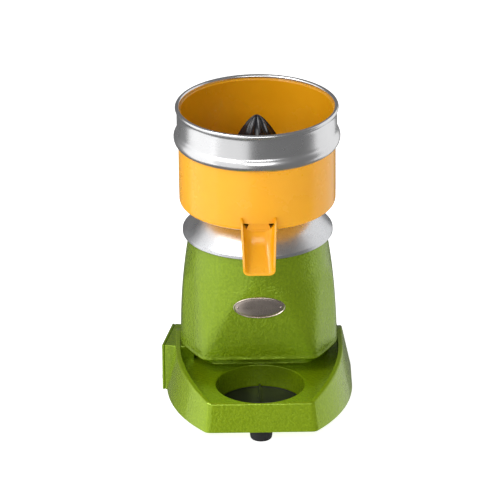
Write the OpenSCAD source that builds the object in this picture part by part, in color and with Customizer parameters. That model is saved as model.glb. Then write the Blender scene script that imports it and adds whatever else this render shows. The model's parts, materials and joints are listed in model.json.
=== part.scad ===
// Citrus press juicer: a vertical motor under a juice bowl, with a spout over a drip tray.
// Origin on the spindle axis at bench level, +Z up, the spout and tray towards -Y.

/* [Base casting] */
// Width of the base at its bottom edge
base_w = 210; // [190:1:260]
// Distance from the spindle axis to the bottom edge of the front facet
front_d = 170; // [166:1:190]
// Radius of the swept side walls, seen from above
side_arc_r = 188; // [170:1:240]
// Distance in front of the axis where the side walls start to sweep in
side_arc_d = 49; // [40:1:60]
// How far the walls lean in for each unit of height
draft = 0.21; // [0.1:0.01:0.3]
// Thickness of the casting walls
cast_t = 5; // [4:0.5:7]
// Height of the tray floor above the bottom edge
tray_h = 33; // [30:1:45]
// Height of the splash wall above the tray floor at the back of the tray
splash_h = 18; // [12:1:26]
// Distance in front of the axis where the splash wall starts to fall
splash_d = 40; // [20:1:60]
// Height of the pedestal that the motor housing stands on
pedestal_h = 16; // [12:1:24]
// Radius of the pedestal
pedestal_r = 80; // [78:1:84]

/* [Tray well] */
// Radius of the round well in the tray
well_r = 49.5; // [35:0.5:50]
// Distance from the spindle axis to the centre of the well
well_d = 111.5; // [111:0.5:116]
// Thickness of the casting under the well
well_floor_t = 4; // [3:0.5:8]
// Height of the drip cup
cup_h = 6; // [5:0.5:14]
// Thickness of the drip cup's wall, floor and ribs
cup_t = 2.5; // [2:0.1:4]
// Gap around the drip cup in the well
cup_gap = 0.6; // [0.4:0.1:1.5]

/* [Feet] */
// Height of the rubber feet
foot_h = 15; // [12:1:25]
// Radius of a foot at its top
foot_r = 12.7; // [10:0.1:13]
// Distance from the spindle axis to the centre of the front foot
front_foot_d = 151; // [140:1:153]
// Sideways distance from the axis to a rear foot
rear_foot_x = 64; // [50:1:68]
// Distance behind the axis to the rear feet
rear_foot_y = 55; // [45:1:60]

/* [Motor housing] */
// Height of the motor housing
housing_h = 122.5; // [118:0.5:160]
// Thickness of the housing wall
shell_t = 4; // [3:0.5:5]
// How much narrower the housing is at its top than at its foot, on each side
housing_taper = 11; // [6:0.5:12]
// Height over which the cornered foot of the housing turns into the round top
morph_h = 88; // [60:1:110]
// How far the front face lies inside the round at the foot
front_flat = 3.4; // [1:0.1:6]
// How far the slanted corner faces lie outside the round at the foot
corner_face = 8.2; // [4:0.1:10]
// How far the corners reach outside the round at the foot
corner_reach = 18.2; // [14:0.1:20]
// Gap between the housing and the splash wall at the sides
nest_gap = 1; // [0.6:0.1:2]
// Thickness of the deck that closes the top of the housing
deck_t = 8; // [7:0.5:12]

/* [Top plate] */
// Radius of the aluminium plate under the bowl
plate_r = 84.6; // [80:0.1:90]
// Height of the plate's edge band
plate_band_h = 5.3; // [4:0.1:9]
// Height of the cone from the edge band to the hub
plate_cone_h = 24; // [20:1:30]
// Radius at the top of the cone
shoulder_r = 62; // [56:1:64]
// Radius of the hub that carries the bowl
hub_r = 38; // [34:1:44]
// Height from the top of the cone to the seat of the bowl
hub_h = 7; // [5:1:14]

/* [Bowl] */
// Outer radius of the bowl
bowl_r = 88.1; // [80:0.1:110]
// Height of the bowl
bowl_h = 112.5; // [95:0.5:140]
// Thickness of the bowl's wall and floor
bowl_t = 3; // [2.5:0.1:4]
// Radius of the rounded edge at the foot of the bowl
bowl_edge_r = 6; // [4:0.5:10]
// Height of the ledge for the strainer above the bowl's floor
ledge_h = 16; // [14:0.5:24]
// Width of the ledge
ledge_w = 3.6; // [3:0.1:6]
// Height of the sleeve around the spindle, above the bowl's floor
sleeve_h = 26; // [20:1:28]

/* [Spout] */
// Width of the spout where it leaves the bowl
spout_w = 41; // [34:1:48]
// Width of the spout at its lip
spout_lip_w = 35; // [28:1:40]
// How far the lip reaches in front of the bowl
spout_reach = 26; // [22:1:32]
// How far the lip hangs below the bowl's underside
spout_drop = 42; // [36:1:44]
// Thickness of the spout's sides and floor
spout_t = 2.6; // [2:0.1:4]
// Height of the outlet in the bowl's wall
outlet_h = 7.5; // [7:0.5:12]

/* [Rim ring] */
// Height of the metal ring around the mouth of the bowl
ring_h = 45; // [35:1:60]
// How far the ring stands above the bowl's edge
ring_over = 4.5; // [3:0.1:8]
// Thickness of the ring's straight wall
ring_t = 1.6; // [1:0.1:3]
// How far the bead stands out from the bowl
bead_w = 5.4; // [3:0.1:8]
// Height of the bead
bead_h = 14; // [10:1:18]
// Gap between the ring and the bowl
ring_gap = 0.1; // [0.05:0.05:0.4]

/* [Reamer and strainer] */
// Height of the reamer
reamer_h = 80; // [75:1:95]
// Radius of the reamer at its foot
reamer_r = 34; // [28:1:38]
// Number of ribs on the reamer
rib_count = 10; // [6:1:12]
// Thickness of a reamer rib
rib_t = 3; // [2:0.5:5]
// Depth of the flutes between the ribs
flute_d = 4; // [2:0.5:6]
// Thickness of the strainer sheet
strainer_t = 1.5; // [1:0.1:2.5]
// Number of slots in each ring of the strainer
slot_count = 24; // [12:1:30]
// Width of a strainer slot
slot_w = 2.4; // [1.6:0.1:3]

/* [Motor] */
// Radius of the stator and of its end shields
motor_r = 60; // [56:1:62]
// Height of the stator stack
stack_h = 50; // [40:1:54]
// Height of each end shield's skirt
skirt_h = 14; // [12:1:18]
// Thickness of the end shields
shield_t = 6; // [5:0.5:8]
// Radius of the rotor
rotor_r = 32; // [26:0.5:34]
// Air gap between the rotor and the stator
air_gap = 0.5; // [0.3:0.1:1]
// Radius of the motor shaft
shaft_r = 7.5; // [6:0.1:9]
// Wall of a ball bearing, from its bore to its outside
bearing_wall = 10; // [8:0.5:12]
// Height of a ball bearing
bearing_h = 11; // [9:0.5:12]
// Radial clearance of the shaft in its bearings and in the reamer
running_gap = 0.05; // [0.02:0.01:0.1]
// Radius of the cooling fan
fan_r = 52; // [44:1:56]
// Number of fan blades
blade_count = 9; // [5:1:12]

/* [Switch] */
// Length of the switch box along the base
switch_box_w = 59; // [52:1:66]
// Height of the switch box
switch_box_h = 56; // [50:1:60]
// How far the switch box hangs below the base's bottom edge
switch_box_drop = 7; // [0:1:9]
// How far the outside of the switch box stands out from the base's bottom edge
switch_box_out = -1; // [-3:0.5:3]
// Angle of the switch box's outer face to the spindle plane
switch_turn = 12; // [0:1:14]
// Distance in front of the axis to the middle of the switch box
switch_box_d = 11; // [5:1:16]
// Thickness of the switch box's cover
switch_cover_t = 3; // [2:0.5:4]
// Thickness of the gasket under that cover
gasket_t = 1; // [0.6:0.1:1.5]
// Radius that the rocker sweeps about its pivot
rocker_r = 11; // [9:0.5:11]
// Width of the rocker
rocker_w = 11; // [9:0.5:14]
// Angle between the rocker's off and on positions
rocker_swing = 32; // [20:1:36]

/* [Badge and gland] */
// Width of the oval badge
badge_w = 58.6; // [40:0.1:64]
// Height of the oval badge
badge_h = 25; // [16:0.5:28]
// Thickness of the badge
badge_t = 1.6; // [1:0.1:3]
// Radius of the hole for the mains lead
cord_r = 4; // [3:0.1:5]

/* [Hidden] */
$fn = 48;
eps = 0.01;      // lets a cut run clear through a face
wide = 400;      // wider than the whole juicer
thread_gap = 0.1; // radial gap of every screw in its hole

green = [0.50, 0.60, 0.16];
orange = [0.96, 0.66, 0.16];
steel = [0.75, 0.76, 0.78];
black = [0.08, 0.08, 0.09];
copper = [0.72, 0.42, 0.22];

// Heights of the main faces
base_z = foot_h;
tray_z = base_z + tray_h;
splash_z = tray_z + splash_h;
housing_z = tray_z + pedestal_h;
plate_z = housing_z + housing_h;
cone_top_z = plate_z + plate_band_h + plate_cone_h;
bowl_z = cone_top_z + hub_h;
bowl_top_z = bowl_z + bowl_h;
rim_z = bowl_top_z + ring_over;

// Base and housing plan
base_half = base_w / 2;
housing_half = base_half - draft * (splash_z - base_z) - cast_t - nest_gap;
cover_t = 2;
cover_front_d = 50;
screw_boss_r = 5.5;
foot_boss_r = 9;
foot_screw_r = 2.5;
vent_count = 7;
vent_w = 4;
vent_l = 60;
vent_step = 11;
well_wall_r = well_r + cast_t;
cover_screw_x = [base_half - 24, 40];
cover_screw_y = [-28, base_half - 25];
cover_screw_l = 12;
cover_screw_r = 1.8;
cover_screw_head_r = 3.5;
boss_screw_depth = 20;
pedestal_front = well_d - well_r - 2;
corner_turn = 28; // the slanted faces look this far forward of straight sideways

// Bolts between the pedestal and the housing
flange_t = 5;
housing_bolt_ring = 66;
housing_bolt_r = 2.5;
housing_head_r = 4.2;
housing_boss_r = 5.5;
housing_boss_h = 16;
flange_hole_r = motor_r + 1;

// Motor stack, hung from the deck of the housing
deck_z = plate_z - deck_t;
upper_shield_z = deck_z - shield_t;
stator_top_z = upper_shield_z - skirt_h;
stator_z = stator_top_z - stack_h;
lower_shield_z = stator_z - skirt_h - shield_t;
bearing_in = 3; // how far a bearing sits into its end shield
upper_bearing_z = upper_shield_z - bearing_h + bearing_in;
lower_bearing_z = lower_shield_z + shield_t - bearing_in;
skirt_t = 2.5;
tie_ring = motor_r - 7;
tie_r = 2.5;
mount_ring = 44;
mount_bolt_r = 2.5;
mount_head_r = 4.5;
mount_head_h = 4;
deck_hole_r = 34;
bearing_r = shaft_r + bearing_wall;
bearing_boss_t = 5;
winding_r = motor_r - 10;
winding_h = 9;
winding_gap = 2;
fan_h = 10;
fan_z = lower_shield_z - fan_h - 6;
fan_hub_r = shaft_r + 8;
shaft_z = fan_z - 4;

// Spindle above the deck
seal_wall = 9.5;
seal_h = 8;
seal_r = shaft_r + seal_wall;
seal_z = bowl_z - hub_h - 10;
hub_recess_r = seal_r + 7;
sleeve_gap = 3.5;
sleeve_r = shaft_r + sleeve_gap;
sleeve_t = 3;
reamer_z = bowl_z + bowl_t + sleeve_h - 4;
reamer_skirt_h = 8;
cone_z = reamer_z + reamer_skirt_h;
cone_h = reamer_h - reamer_skirt_h;
reamer_cavity_r = sleeve_r + sleeve_t + 2.5;
pin_z = reamer_z + reamer_skirt_h + 6;
pin_r = 2.5;
pin_half = sleeve_r - 0.8; // the bowl's sleeve lifts off over the pin
pin_gap = 0.4;
bore_top_z = reamer_z + reamer_h * 0.58;
shaft_top_z = bore_top_z - 1;

// Plate
plate_wall = 6;
plate_rim_r = 62;
plate_screw_ring = motor_r + 8;
plate_screw_r = 2;
bowl_pin_ring = (hub_r + hub_recess_r) / 2;
bowl_pin_r = 2.5;
bowl_pin_up = 5;
bowl_pin_gap = 0.4;

// Bowl
bowl_in_r = bowl_r - bowl_t;
ledge_z = bowl_z + bowl_t + ledge_h;
ledge_t = 3;
strainer_gap = 0.7;
strainer_r = bowl_in_r - strainer_gap;
strainer_hole_r = sleeve_r + sleeve_t + 1;
strainer_rim_h = 6;
slot_rings = 3;
slot_start_r = 24;
slot_web = 6;

// Spout side profile, as [distance in front of the bowl's wall, height above the bowl's underside]
lip_h = 9;
spout_top = [[-4, 14], [2, 14], [spout_reach + 1, lip_h - spout_drop]];
spout_under = [[spout_reach - 2, -spout_drop], [9, -21], [-4, 0]];
chute_bend = [11, -17];

// Switch box frame: local X points out of its face, local Y to the front
switch_box_z = base_z - switch_box_drop;
switch_x = -(base_half + switch_box_out);
switch_z = switch_box_z + 23.5;
switch_shift = 8;
pivot_in = 1;
rocker_rise = 3;
rocker_gap = 0.4;
pivot_r = 1.5;
body_wall = 1.5;
body_depth = 19;
bezel_t = 1.5;
bezel_lip = 2.5;
body_half_h = rocker_r + rocker_gap + body_wall;
body_half_w = rocker_w / 2 + rocker_gap + body_wall;
bezel_half_h = body_half_h + bezel_lip;
bezel_half_w = body_half_w + bezel_lip;
switch_screw_r = 1.8;
switch_screw_head_r = 3.4;
switch_screw_l = 7.5;
switch_sink = 1.6;

// Electrics on the bottom cover
electrics_z = base_z + cover_t;
capacitor_r = 11;
capacitor_l = 56;
capacitor_y = 66;
clip_t = 1.2;
clip_w = 14;
block_at = [55, 8];
block_size = [48, 17, 15];
block_ways = 5;
block_pitch = 9;
earth_spot = [-52, 30];

// Cord gland in the back of the base
gland_up = 17;
gland_z = base_z + gland_up;
gland_nut_t = 4;
gland_wall_y = base_half - cast_t - draft * gland_up; // the inside of the base's back wall
gland_r = cord_r + 3;
gland_flange_r = gland_r + 3.5;
gland_pad_y = base_half + 0.5;
gland_flange_t = 3;
gland_nose_l = 10;
gland_in_l = 14;

badge_z = housing_z + 65;
badge_band = badge_h / 2 + 4;
rivet_r = 1;
rivet_in = 5;

// ---- shared shapes ----

module disc(r, z0, z1) {
    translate([0, 0, z0]) cylinder(r = r, h = z1 - z0);
}

module ring(r_out, r_in, z0, z1) {
    difference() {
        disc(r_out, z0, z1);
        disc(r_in, z0 - 1, z1 + 1);
    }
}

module around(count, r, first = 0) {
    for (i = [0 : count - 1]) rotate([0, 0, first + i * 360 / count]) translate([r, 0, 0]) children();
}

// Pan-head screw standing on z = 0, its shank going up
module screw_up(shank_r, shank_l, head_r, head_h) {
    disc(shank_r, -head_h, shank_l);
    disc(head_r, -head_h, 0);
}

// ---- base casting ----

function lean(z, inset) = inset + draft * (z - base_z);

// The base's plan with its lean, between two heights, drawn in by inset (at the front by front_inset)
module base_form(inset, front_inset, z0, z1) {
    h = z1 - z0;
    w0 = base_half - lean(z0, inset);
    w1 = base_half - lean(z1, inset);
    intersection() {
        union() {
            intersection() {
                translate([0, 0, z0]) cylinder(r1 = w0, r2 = w1, h = h, $fn = 96);
                translate([-wide / 2, 0, z0]) cube([wide, wide, h]);
            }
            rotate([90, 0, 0]) linear_extrude(side_arc_d)
                polygon([[-w0, z0], [w0, z0], [w1, z1], [-w1, z1]]);
            intersection() {
                both_side_arcs(z0, h, inset);
                translate([-wide / 2, -wide - side_arc_d, z0]) cube([wide, wide, h]);
            }
        }
        rotate([90, 0, 90]) linear_extrude(wide, center = true)
            polygon([[wide, z0], [wide, z1], [lean(z1, front_inset) - front_d, z1],
                [lean(z0, front_inset) - front_d, z0]]);
    }
}

module both_side_arcs(z0, h, inset) {
    intersection() {
        side_arc(1, z0, h, inset);
        side_arc(-1, z0, h, inset);
    }
}

module side_arc(side, z0, h, inset) {
    translate([side * (base_half - side_arc_r), -side_arc_d, z0])
        cylinder(r1 = side_arc_r - lean(z0, inset), r2 = side_arc_r - lean(z0 + h, inset), h = h, $fn = 192);
}

// Everything under the falling top edge of the splash wall
module splash_profile() {
    run = front_d - lean(tray_z, 0) - splash_d;
    fall_r = (run * run + splash_h * splash_h) / (2 * splash_h);
    translate([-wide / 2, -splash_d, tray_z - 1]) cube([wide, wide, splash_h + 1]);
    translate([-wide / 2, -splash_d, splash_z - fall_r]) rotate([0, 90, 0])
        cylinder(r = fall_r, h = wide, $fn = 256);
}

module pedestal(r, front, z0, z1) {
    intersection() {
        disc(r, z0, z1);
        translate([-wide / 2, -front, z0 - 1]) cube([wide, wide, z1 - z0 + 2]);
    }
}

module at_well() {
    translate([0, -well_d, 0]) children();
}

module at_feet() {
    translate([0, -front_foot_d, 0]) children();
    for (side = [-1, 1]) translate([side * rear_foot_x, rear_foot_y, 0]) children();
}

module at_cover_screws() {
    for (i = [0, 1], side = [-1, 1]) translate([side * cover_screw_x[i], cover_screw_y[i], 0]) children();
}

module base_hollow() {
    difference() {
        union() {
            base_form(cast_t, cast_t, base_z - 1, tray_z - cast_t);
            pedestal(pedestal_r - cast_t, well_d - well_wall_r - cast_t, base_z, housing_z - cast_t);
        }
        at_well() disc(well_wall_r, base_z - 2, tray_z);
        for (side = [-1, 1]) translate([side * rear_foot_x, rear_foot_y, 0]) disc(foot_boss_r, base_z - 2, tray_z);
        at_cover_screws() disc(screw_boss_r, base_z + cover_t, tray_z);
    }
}

module base_casting() {
    color(green) difference() {
        union() {
            base_form(0, 0, base_z, tray_z);
            intersection() {
                difference() {
                    base_form(0, 0, tray_z, splash_z);
                    base_form(cast_t, -cast_t, tray_z - 1, splash_z + 1);
                }
                splash_profile();
            }
            difference() {
                pedestal(pedestal_r, pedestal_front, tray_z - 1, housing_z);
                at_well() disc(well_wall_r, tray_z - 2, housing_z + 1);
            }
            translate([0, base_half / 2, gland_z]) rotate([-90, 0, 0])
                cylinder(r = gland_flange_r + 1, h = gland_pad_y - base_half / 2);
        }
        base_hollow();
        at_well() disc(well_r, base_z + well_floor_t, housing_z);
        disc(flange_hole_r, tray_z, housing_z + 1);
        around(4, housing_bolt_ring, 45) disc(housing_bolt_r + thread_gap, tray_z, housing_z + 1);
        translate([0, -front_foot_d, 0]) disc(foot_screw_r + thread_gap, base_z - 1, base_z + well_floor_t + 1);
        for (side = [-1, 1]) translate([side * rear_foot_x, rear_foot_y, 0])
            disc(foot_screw_r + thread_gap, base_z - 1, base_z + boss_screw_depth);
        at_cover_screws() disc(cover_screw_r + thread_gap, base_z, base_z + cover_screw_l + 2);
        translate([0, base_half / 2, gland_z]) rotate([-90, 0, 0]) cylinder(r = gland_r + thread_gap, h = base_half);
        translate([0, base_half / 4, gland_z]) rotate([-90, 0, 0])
            cylinder(r = gland_flange_r + 2, h = gland_wall_y - base_half / 4);
        switch_passage();
        switch_screw_holes();
    }
}

module bottom_cover() {
    color(steel) difference() {
        intersection() {
            base_form(cast_t + 0.5, cast_t, base_z, base_z + cover_t);
            translate([-wide / 2, -cover_front_d, base_z]) cube([wide, wide, cover_t]);
        }
        at_well() disc(well_wall_r + 0.5, base_z - 1, base_z + cover_t + 1);
        for (side = [-1, 1]) translate([side * rear_foot_x, rear_foot_y, 0])
            disc(foot_boss_r + 0.5, base_z - 1, base_z + cover_t + 1);
        at_cover_screws() disc(cover_screw_r + thread_gap, base_z - 1, base_z + cover_t + 1);
        for (i = [0 : vent_count - 1])
            translate([-vent_l / 2, (i - (vent_count - 1) / 2) * vent_step - 5, base_z - 1])
                cube([vent_l, vent_w, cover_t + 2]);
        translate(earth_spot) disc(cover_screw_r + thread_gap, base_z - 1, base_z + cover_t + 1);
    }
}

module bottom_cover_screws() {
    color(steel) at_cover_screws() translate([0, 0, base_z]) screw_up(cover_screw_r, cover_screw_l, cover_screw_head_r, 2);
}

module foot() {
    color(black) difference() {
        cylinder(r1 = foot_r - 0.6, r2 = foot_r, h = foot_h);
        translate([0, 0, -1]) cylinder(r = foot_screw_r + thread_gap, h = foot_h + 2);
        translate([0, 0, -1]) cylinder(r = 6, h = foot_h / 2 + 1);
    }
}

module front_foot() { translate([0, -front_foot_d, 0]) foot(); }
module rear_left_foot() { translate([-rear_foot_x, rear_foot_y, 0]) foot(); }
module rear_right_foot() { translate([rear_foot_x, rear_foot_y, 0]) foot(); }

module foot_screws() {
    color(steel) at_feet() translate([0, 0, foot_h / 2])
        screw_up(foot_screw_r, foot_h / 2 + well_floor_t - 0.5, 5, 3);
}

module drip_cup() {
    cup_z = base_z + well_floor_t;
    cup_r = well_r - cup_gap;
    color(black) at_well() {
        difference() {
            disc(cup_r, cup_z, cup_z + cup_h);
            disc(cup_r - cup_t, cup_z + cup_t, cup_z + cup_h + 1);
        }
        for (turn = [0, 90]) rotate([0, 0, turn])
            translate([-cup_r + cup_t / 2, -cup_t / 2, cup_z + 1])
                cube([2 * cup_r - cup_t, cup_t, cup_h - 1.5]);
    }
}

// ---- motor housing ----

function arc_drop(z) = housing_taper * pow((z - housing_z) / housing_h, 2);
function side_r(z) = housing_half - arc_drop(z);
function morph(z) = max(0, 1 - (z - housing_z) / morph_h);

function housing_steps(z0, z1) = concat([z0],
    [for (z = [housing_z + 22, badge_z - badge_band, badge_z + badge_band, housing_z + 103]) if (z > z0 + 1 && z < z1 - 1) z],
    [z1]);

// A solid of revolution around the spindle whose radius follows the taper, plus extra times the morph
module housing_round(inset, extra, z0, z1) {
    steps = housing_steps(z0, z1);
    rotate_extrude($fn = 96) polygon(concat([[0, z0]],
        [for (z = steps) [side_r(z) + extra * morph(z) - inset, z]], [[0, z1]]));
}

// Everything inside one outer face of the housing, which looks towards the given angle
module housing_face(turn, inset, extra, z0, z1) {
    steps = housing_steps(z0, z1);
    rotate([0, 0, turn]) rotate([90, 0, 0]) linear_extrude(wide, center = true)
        polygon(concat([[-wide, z0]],
            [for (z = steps) [side_r(z) + extra * morph(z) - inset, z]], [[-wide, z1]]));
}

module housing_form(inset, z0, z1) {
    intersection() {
        housing_round(inset, 0, z0, z1);
        translate([-wide / 2, 0, z0]) cube([wide, wide, z1 - z0]);
    }
    intersection() {
        housing_round(inset, corner_reach, z0, z1);
        translate([-wide / 2, -wide, z0]) cube([wide, wide, z1 - z0]);
        housing_face(0, inset, 0, z0, z1);
        housing_face(180, inset, 0, z0, z1);
        housing_face(-corner_turn, inset, corner_face, z0, z1);
        housing_face(180 + corner_turn, inset, corner_face, z0, z1);
        housing_face(-90, inset, -front_flat, z0, z1);
    }
}

module motor_housing() {
    color(green) difference() {
        union() {
            difference() {
                housing_form(0, housing_z, plate_z);
                housing_form(shell_t, housing_z + flange_t, deck_z);
            }
            around(4, housing_bolt_ring, 45) disc(housing_boss_r, housing_z + 1, housing_z + housing_boss_h);
        }
        disc(flange_hole_r, housing_z - 1, housing_z + flange_t + 1);
        around(4, housing_bolt_ring, 45)
            disc(housing_bolt_r + thread_gap, housing_z - 1, housing_z + housing_boss_h + 1);
        disc(deck_hole_r, deck_z - 1, plate_z + 1);
        around(4, mount_ring) {
            disc(mount_bolt_r + thread_gap, deck_z - 1, plate_z + 1);
            disc(mount_head_r + 0.4, plate_z - mount_head_h - 0.5, plate_z + 1);
        }
        around(4, plate_screw_ring, 45) disc(plate_screw_r + thread_gap, deck_z - 1, plate_z + 1);
        at_badge() at_rivets() rotate([90, 0, 0]) cylinder(r = rivet_r + thread_gap, h = 6, center = true);
    }
}

module housing_bolts() {
    color(steel) around(4, housing_bolt_ring, 45) translate([0, 0, housing_z - cast_t])
        screw_up(housing_bolt_r, cast_t + housing_boss_h - 2, housing_head_r, 4);
}

// The middle of the badge on the housing's front face, leaning with it
module at_badge() {
    z0 = badge_z - badge_band;
    z1 = badge_z + badge_band;
    d0 = side_r(z0) - front_flat * morph(z0);
    d1 = side_r(z1) - front_flat * morph(z1);
    translate([0, -(d0 + d1) / 2, badge_z]) rotate([atan((d1 - d0) / (z1 - z0)), 0, 0]) children();
}

module at_rivets() {
    for (side = [-1, 1]) translate([side * (badge_w / 2 - rivet_in), 0, 0]) children();
}

module badge() {
    color([0.78, 0.72, 0.64]) at_badge() rotate([90, 0, 0]) difference() {
        linear_extrude(badge_t) polygon([for (a = [0 : 7.5 : 352.5]) [badge_w / 2 * cos(a), badge_h / 2 * sin(a)]]);
        at_rivets() translate([0, 0, -1]) cylinder(r = rivet_r + thread_gap, h = badge_t + 2);
    }
}

module badge_rivets() {
    color(steel) at_badge() at_rivets() rotate([90, 0, 0]) {
        disc(rivet_r, -2.5, badge_t + eps);
        translate([0, 0, badge_t]) cylinder(r1 = 1.8 * rivet_r, r2 = rivet_r, h = 0.6);
    }
}

// ---- top plate ----

module top_plate() {
    color(steel) difference() {
        rotate_extrude($fn = 96) polygon([
            [shaft_r + 1.5, seal_z - plate_wall], [shaft_r + 1.5, seal_z], [seal_r, seal_z],
            [seal_r, seal_z + seal_h], [hub_recess_r, seal_z + seal_h], [hub_recess_r, bowl_z],
            [hub_r, bowl_z], [hub_r, cone_top_z], [shoulder_r, cone_top_z],
            [plate_r, plate_z + plate_band_h], [plate_r, plate_z],
            [plate_rim_r, plate_z], [plate_rim_r, plate_z + plate_band_h], [shoulder_r - plate_wall, cone_top_z - plate_wall],
            [seal_r + 5, cone_top_z - plate_wall],
            [seal_r + 5, seal_z - plate_wall]]);
        around(4, plate_screw_ring, 45) disc(plate_screw_r + thread_gap, plate_z - 1, plate_z + plate_band_h);
        around(2, bowl_pin_ring) disc(bowl_pin_r + thread_gap, cone_top_z - 1, bowl_z + 1);
    }
}

module plate_screws() {
    color(steel) around(4, plate_screw_ring, 45) translate([0, 0, deck_z])
        screw_up(plate_screw_r, deck_t + plate_band_h - 1, 3.8, 3);
}

module bowl_locating_pins() {
    color(steel) around(2, bowl_pin_ring) disc(bowl_pin_r, cone_top_z, bowl_z + bowl_pin_up);
}

module shaft_seal() {
    color(black) ring(seal_r - running_gap, shaft_r + running_gap, seal_z, seal_z + seal_h - 1);
}

// ---- motor ----

module stator_core() {
    color([0.45, 0.46, 0.48]) difference() {
        disc(motor_r, stator_z, stator_top_z);
        disc(rotor_r + air_gap, stator_z - 1, stator_top_z + 1);
        around(4, tie_ring) disc(tie_r + thread_gap, stator_z - 1, stator_top_z + 1);
    }
}

module stator_windings() {
    color(copper) {
        ring(winding_r, rotor_r + winding_gap, stator_top_z, stator_top_z + winding_h);
        ring(winding_r, rotor_r + winding_gap, stator_z - winding_h, stator_z);
    }
}

module end_shield(z0, z1, skirt_z0, skirt_z1, bearing_z) {
    color([0.66, 0.67, 0.69]) difference() {
        union() {
            disc(motor_r, z0, z1);
            ring(motor_r, motor_r - skirt_t, skirt_z0, skirt_z1);
            disc(bearing_r + bearing_boss_t, min(z0, bearing_z), max(z1, bearing_z + bearing_h));
        }
        disc(bearing_r, bearing_z, bearing_z + bearing_h);
        disc(shaft_r + 2, min(z0, bearing_z) - 1, max(z1, bearing_z + bearing_h) + 1);
        around(4, tie_ring) disc(tie_r + thread_gap, z0 - 1, z1 + 1);
        around(4, mount_ring) disc(mount_bolt_r + thread_gap, z0 - 1, z1 + 1);
    }
}

module upper_end_shield() {
    end_shield(upper_shield_z, deck_z, stator_top_z, upper_shield_z + eps, upper_bearing_z);
}

module lower_end_shield() {
    end_shield(lower_shield_z, lower_shield_z + shield_t, lower_shield_z + shield_t - eps, stator_z, lower_bearing_z);
}

module motor_tie_bolts() {
    color(steel) around(4, tie_ring) {
        translate([0, 0, lower_shield_z]) screw_up(tie_r, deck_z - lower_shield_z - 1, 4, 3.5);
    }
}

module motor_mount_bolts() {
    color(steel) around(4, mount_ring) {
        disc(mount_bolt_r, upper_shield_z - 4, plate_z - mount_head_h);
        disc(mount_head_r, plate_z - mount_head_h - 0.5, plate_z - 0.5);
    }
}

module bearing(z) {
    color(steel) difference() {
        ring(bearing_r, shaft_r + running_gap, z, z + bearing_h);
        for (face = [z - 1, z + bearing_h - 1])
            ring(bearing_r - 2.5, shaft_r + 2.5, face, face + 2);
    }
}

module upper_bearing() { bearing(upper_bearing_z); }
module lower_bearing() { bearing(lower_bearing_z); }

module motor_shaft() {
    color(steel) difference() {
        union() {
            disc(shaft_r, shaft_z, shaft_top_z - 2);
            translate([0, 0, shaft_top_z - 2]) cylinder(r1 = shaft_r, r2 = shaft_r - 2, h = 2);
        }
        translate([0, 0, pin_z]) rotate([0, 90, 0]) cylinder(r = pin_r, h = 3 * shaft_r, center = true);
    }
}

module drive_pin() {
    color(steel) translate([0, 0, pin_z]) rotate([0, 90, 0]) cylinder(r = pin_r, h = 2 * pin_half, center = true);
}

module rotor_core() {
    color([0.40, 0.41, 0.43]) ring(rotor_r, shaft_r, stator_z, stator_top_z);
}

module cooling_fan() {
    blade_t = 1.6;
    color([0.15, 0.15, 0.16]) {
        ring(fan_hub_r, shaft_r, fan_z, fan_z + fan_h);
        ring(fan_r, fan_hub_r - 1, fan_z + fan_h - 2, fan_z + fan_h);
        for (i = [0 : blade_count - 1]) rotate([0, 0, i * 360 / blade_count])
            translate([fan_hub_r - 1, -blade_t / 2, fan_z]) cube([fan_r - fan_hub_r, blade_t, fan_h]);
    }
}

// ---- electrics in the base ----

module at_capacitor() {
    translate([0, capacitor_y, electrics_z + capacitor_r + clip_t]) rotate([0, 90, 0]) children();
}

module run_capacitor() {
    color([0.82, 0.83, 0.84]) at_capacitor() {
        cylinder(r = capacitor_r, h = capacitor_l, center = true);
        translate([0, 0, capacitor_l / 2]) cylinder(r = capacitor_r * 0.6, h = 3);
    }
}

module capacitor_clip() {
    color(steel) {
        at_capacitor() difference() {
            cylinder(r = capacitor_r + clip_t, h = clip_w, center = true);
            cylinder(r = capacitor_r, h = clip_w + 2, center = true);
        }
        for (side = [-1, 1])
            translate([-clip_w / 2, capacitor_y + (side > 0 ? 4 : -22), electrics_z])
                cube([clip_w, 18, clip_t]);
    }
}

module terminal_block() {
    color([0.9, 0.9, 0.86]) translate([block_at.x, block_at.y, electrics_z]) difference() {
        translate([-block_size.x / 2, -block_size.y / 2, 0]) cube(block_size);
        for (i = [0 : block_ways - 1], row = [-1, 1])
            translate([(i - (block_ways - 1) / 2) * block_pitch, row * block_size.y / 4, block_size.z / 2])
                cylinder(r = 1.8, h = block_size.z);
    }
}

module earth_screw() {
    color([0.8, 0.66, 0.3]) translate([earth_spot.x, earth_spot.y, base_z]) {
        screw_up(cover_screw_r, cover_screw_l, cover_screw_head_r, 1.5);
        translate([0, 0, cover_t]) cylinder(r = 4, h = 3, $fn = 6);
    }
}

// ---- switch ----

module at_switch() {
    translate([switch_x, -switch_box_d, 0]) rotate([0, 0, 180 - switch_turn]) children();
}

module at_rocker() {
    at_switch() translate([-pivot_in, switch_shift, switch_z]) children();
}

module switch_slab(x0, x1, shrink) {
    translate([x0, shrink - switch_box_w / 2, switch_box_z + shrink])
        cube([x1 - x0, switch_box_w - 2 * shrink, switch_box_h - 2 * shrink]);
}

module at_cover_corners() {
    reach = switch_box_w / 2 - 5;
    for (place = [[reach, switch_box_h - 5], [-reach, switch_box_h - 5], [reach, 15]])
        translate([0, place.x, switch_box_z + place.y]) rotate([0, 90, 0]) children();
}

module switch_screw_holes() {
    at_switch() at_cover_corners() translate([0, 0, -switch_screw_l - 0.5])
        cylinder(r = switch_screw_r + thread_gap, h = switch_screw_l + 1);
}

// A block around the rocker's middle, between two distances out of the box's face
module switch_block(x0, x1, half_w, half_h) {
    at_switch() translate([x0, switch_shift - half_w, switch_z - half_h]) cube([x1 - x0, 2 * half_w, 2 * half_h]);
}

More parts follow.
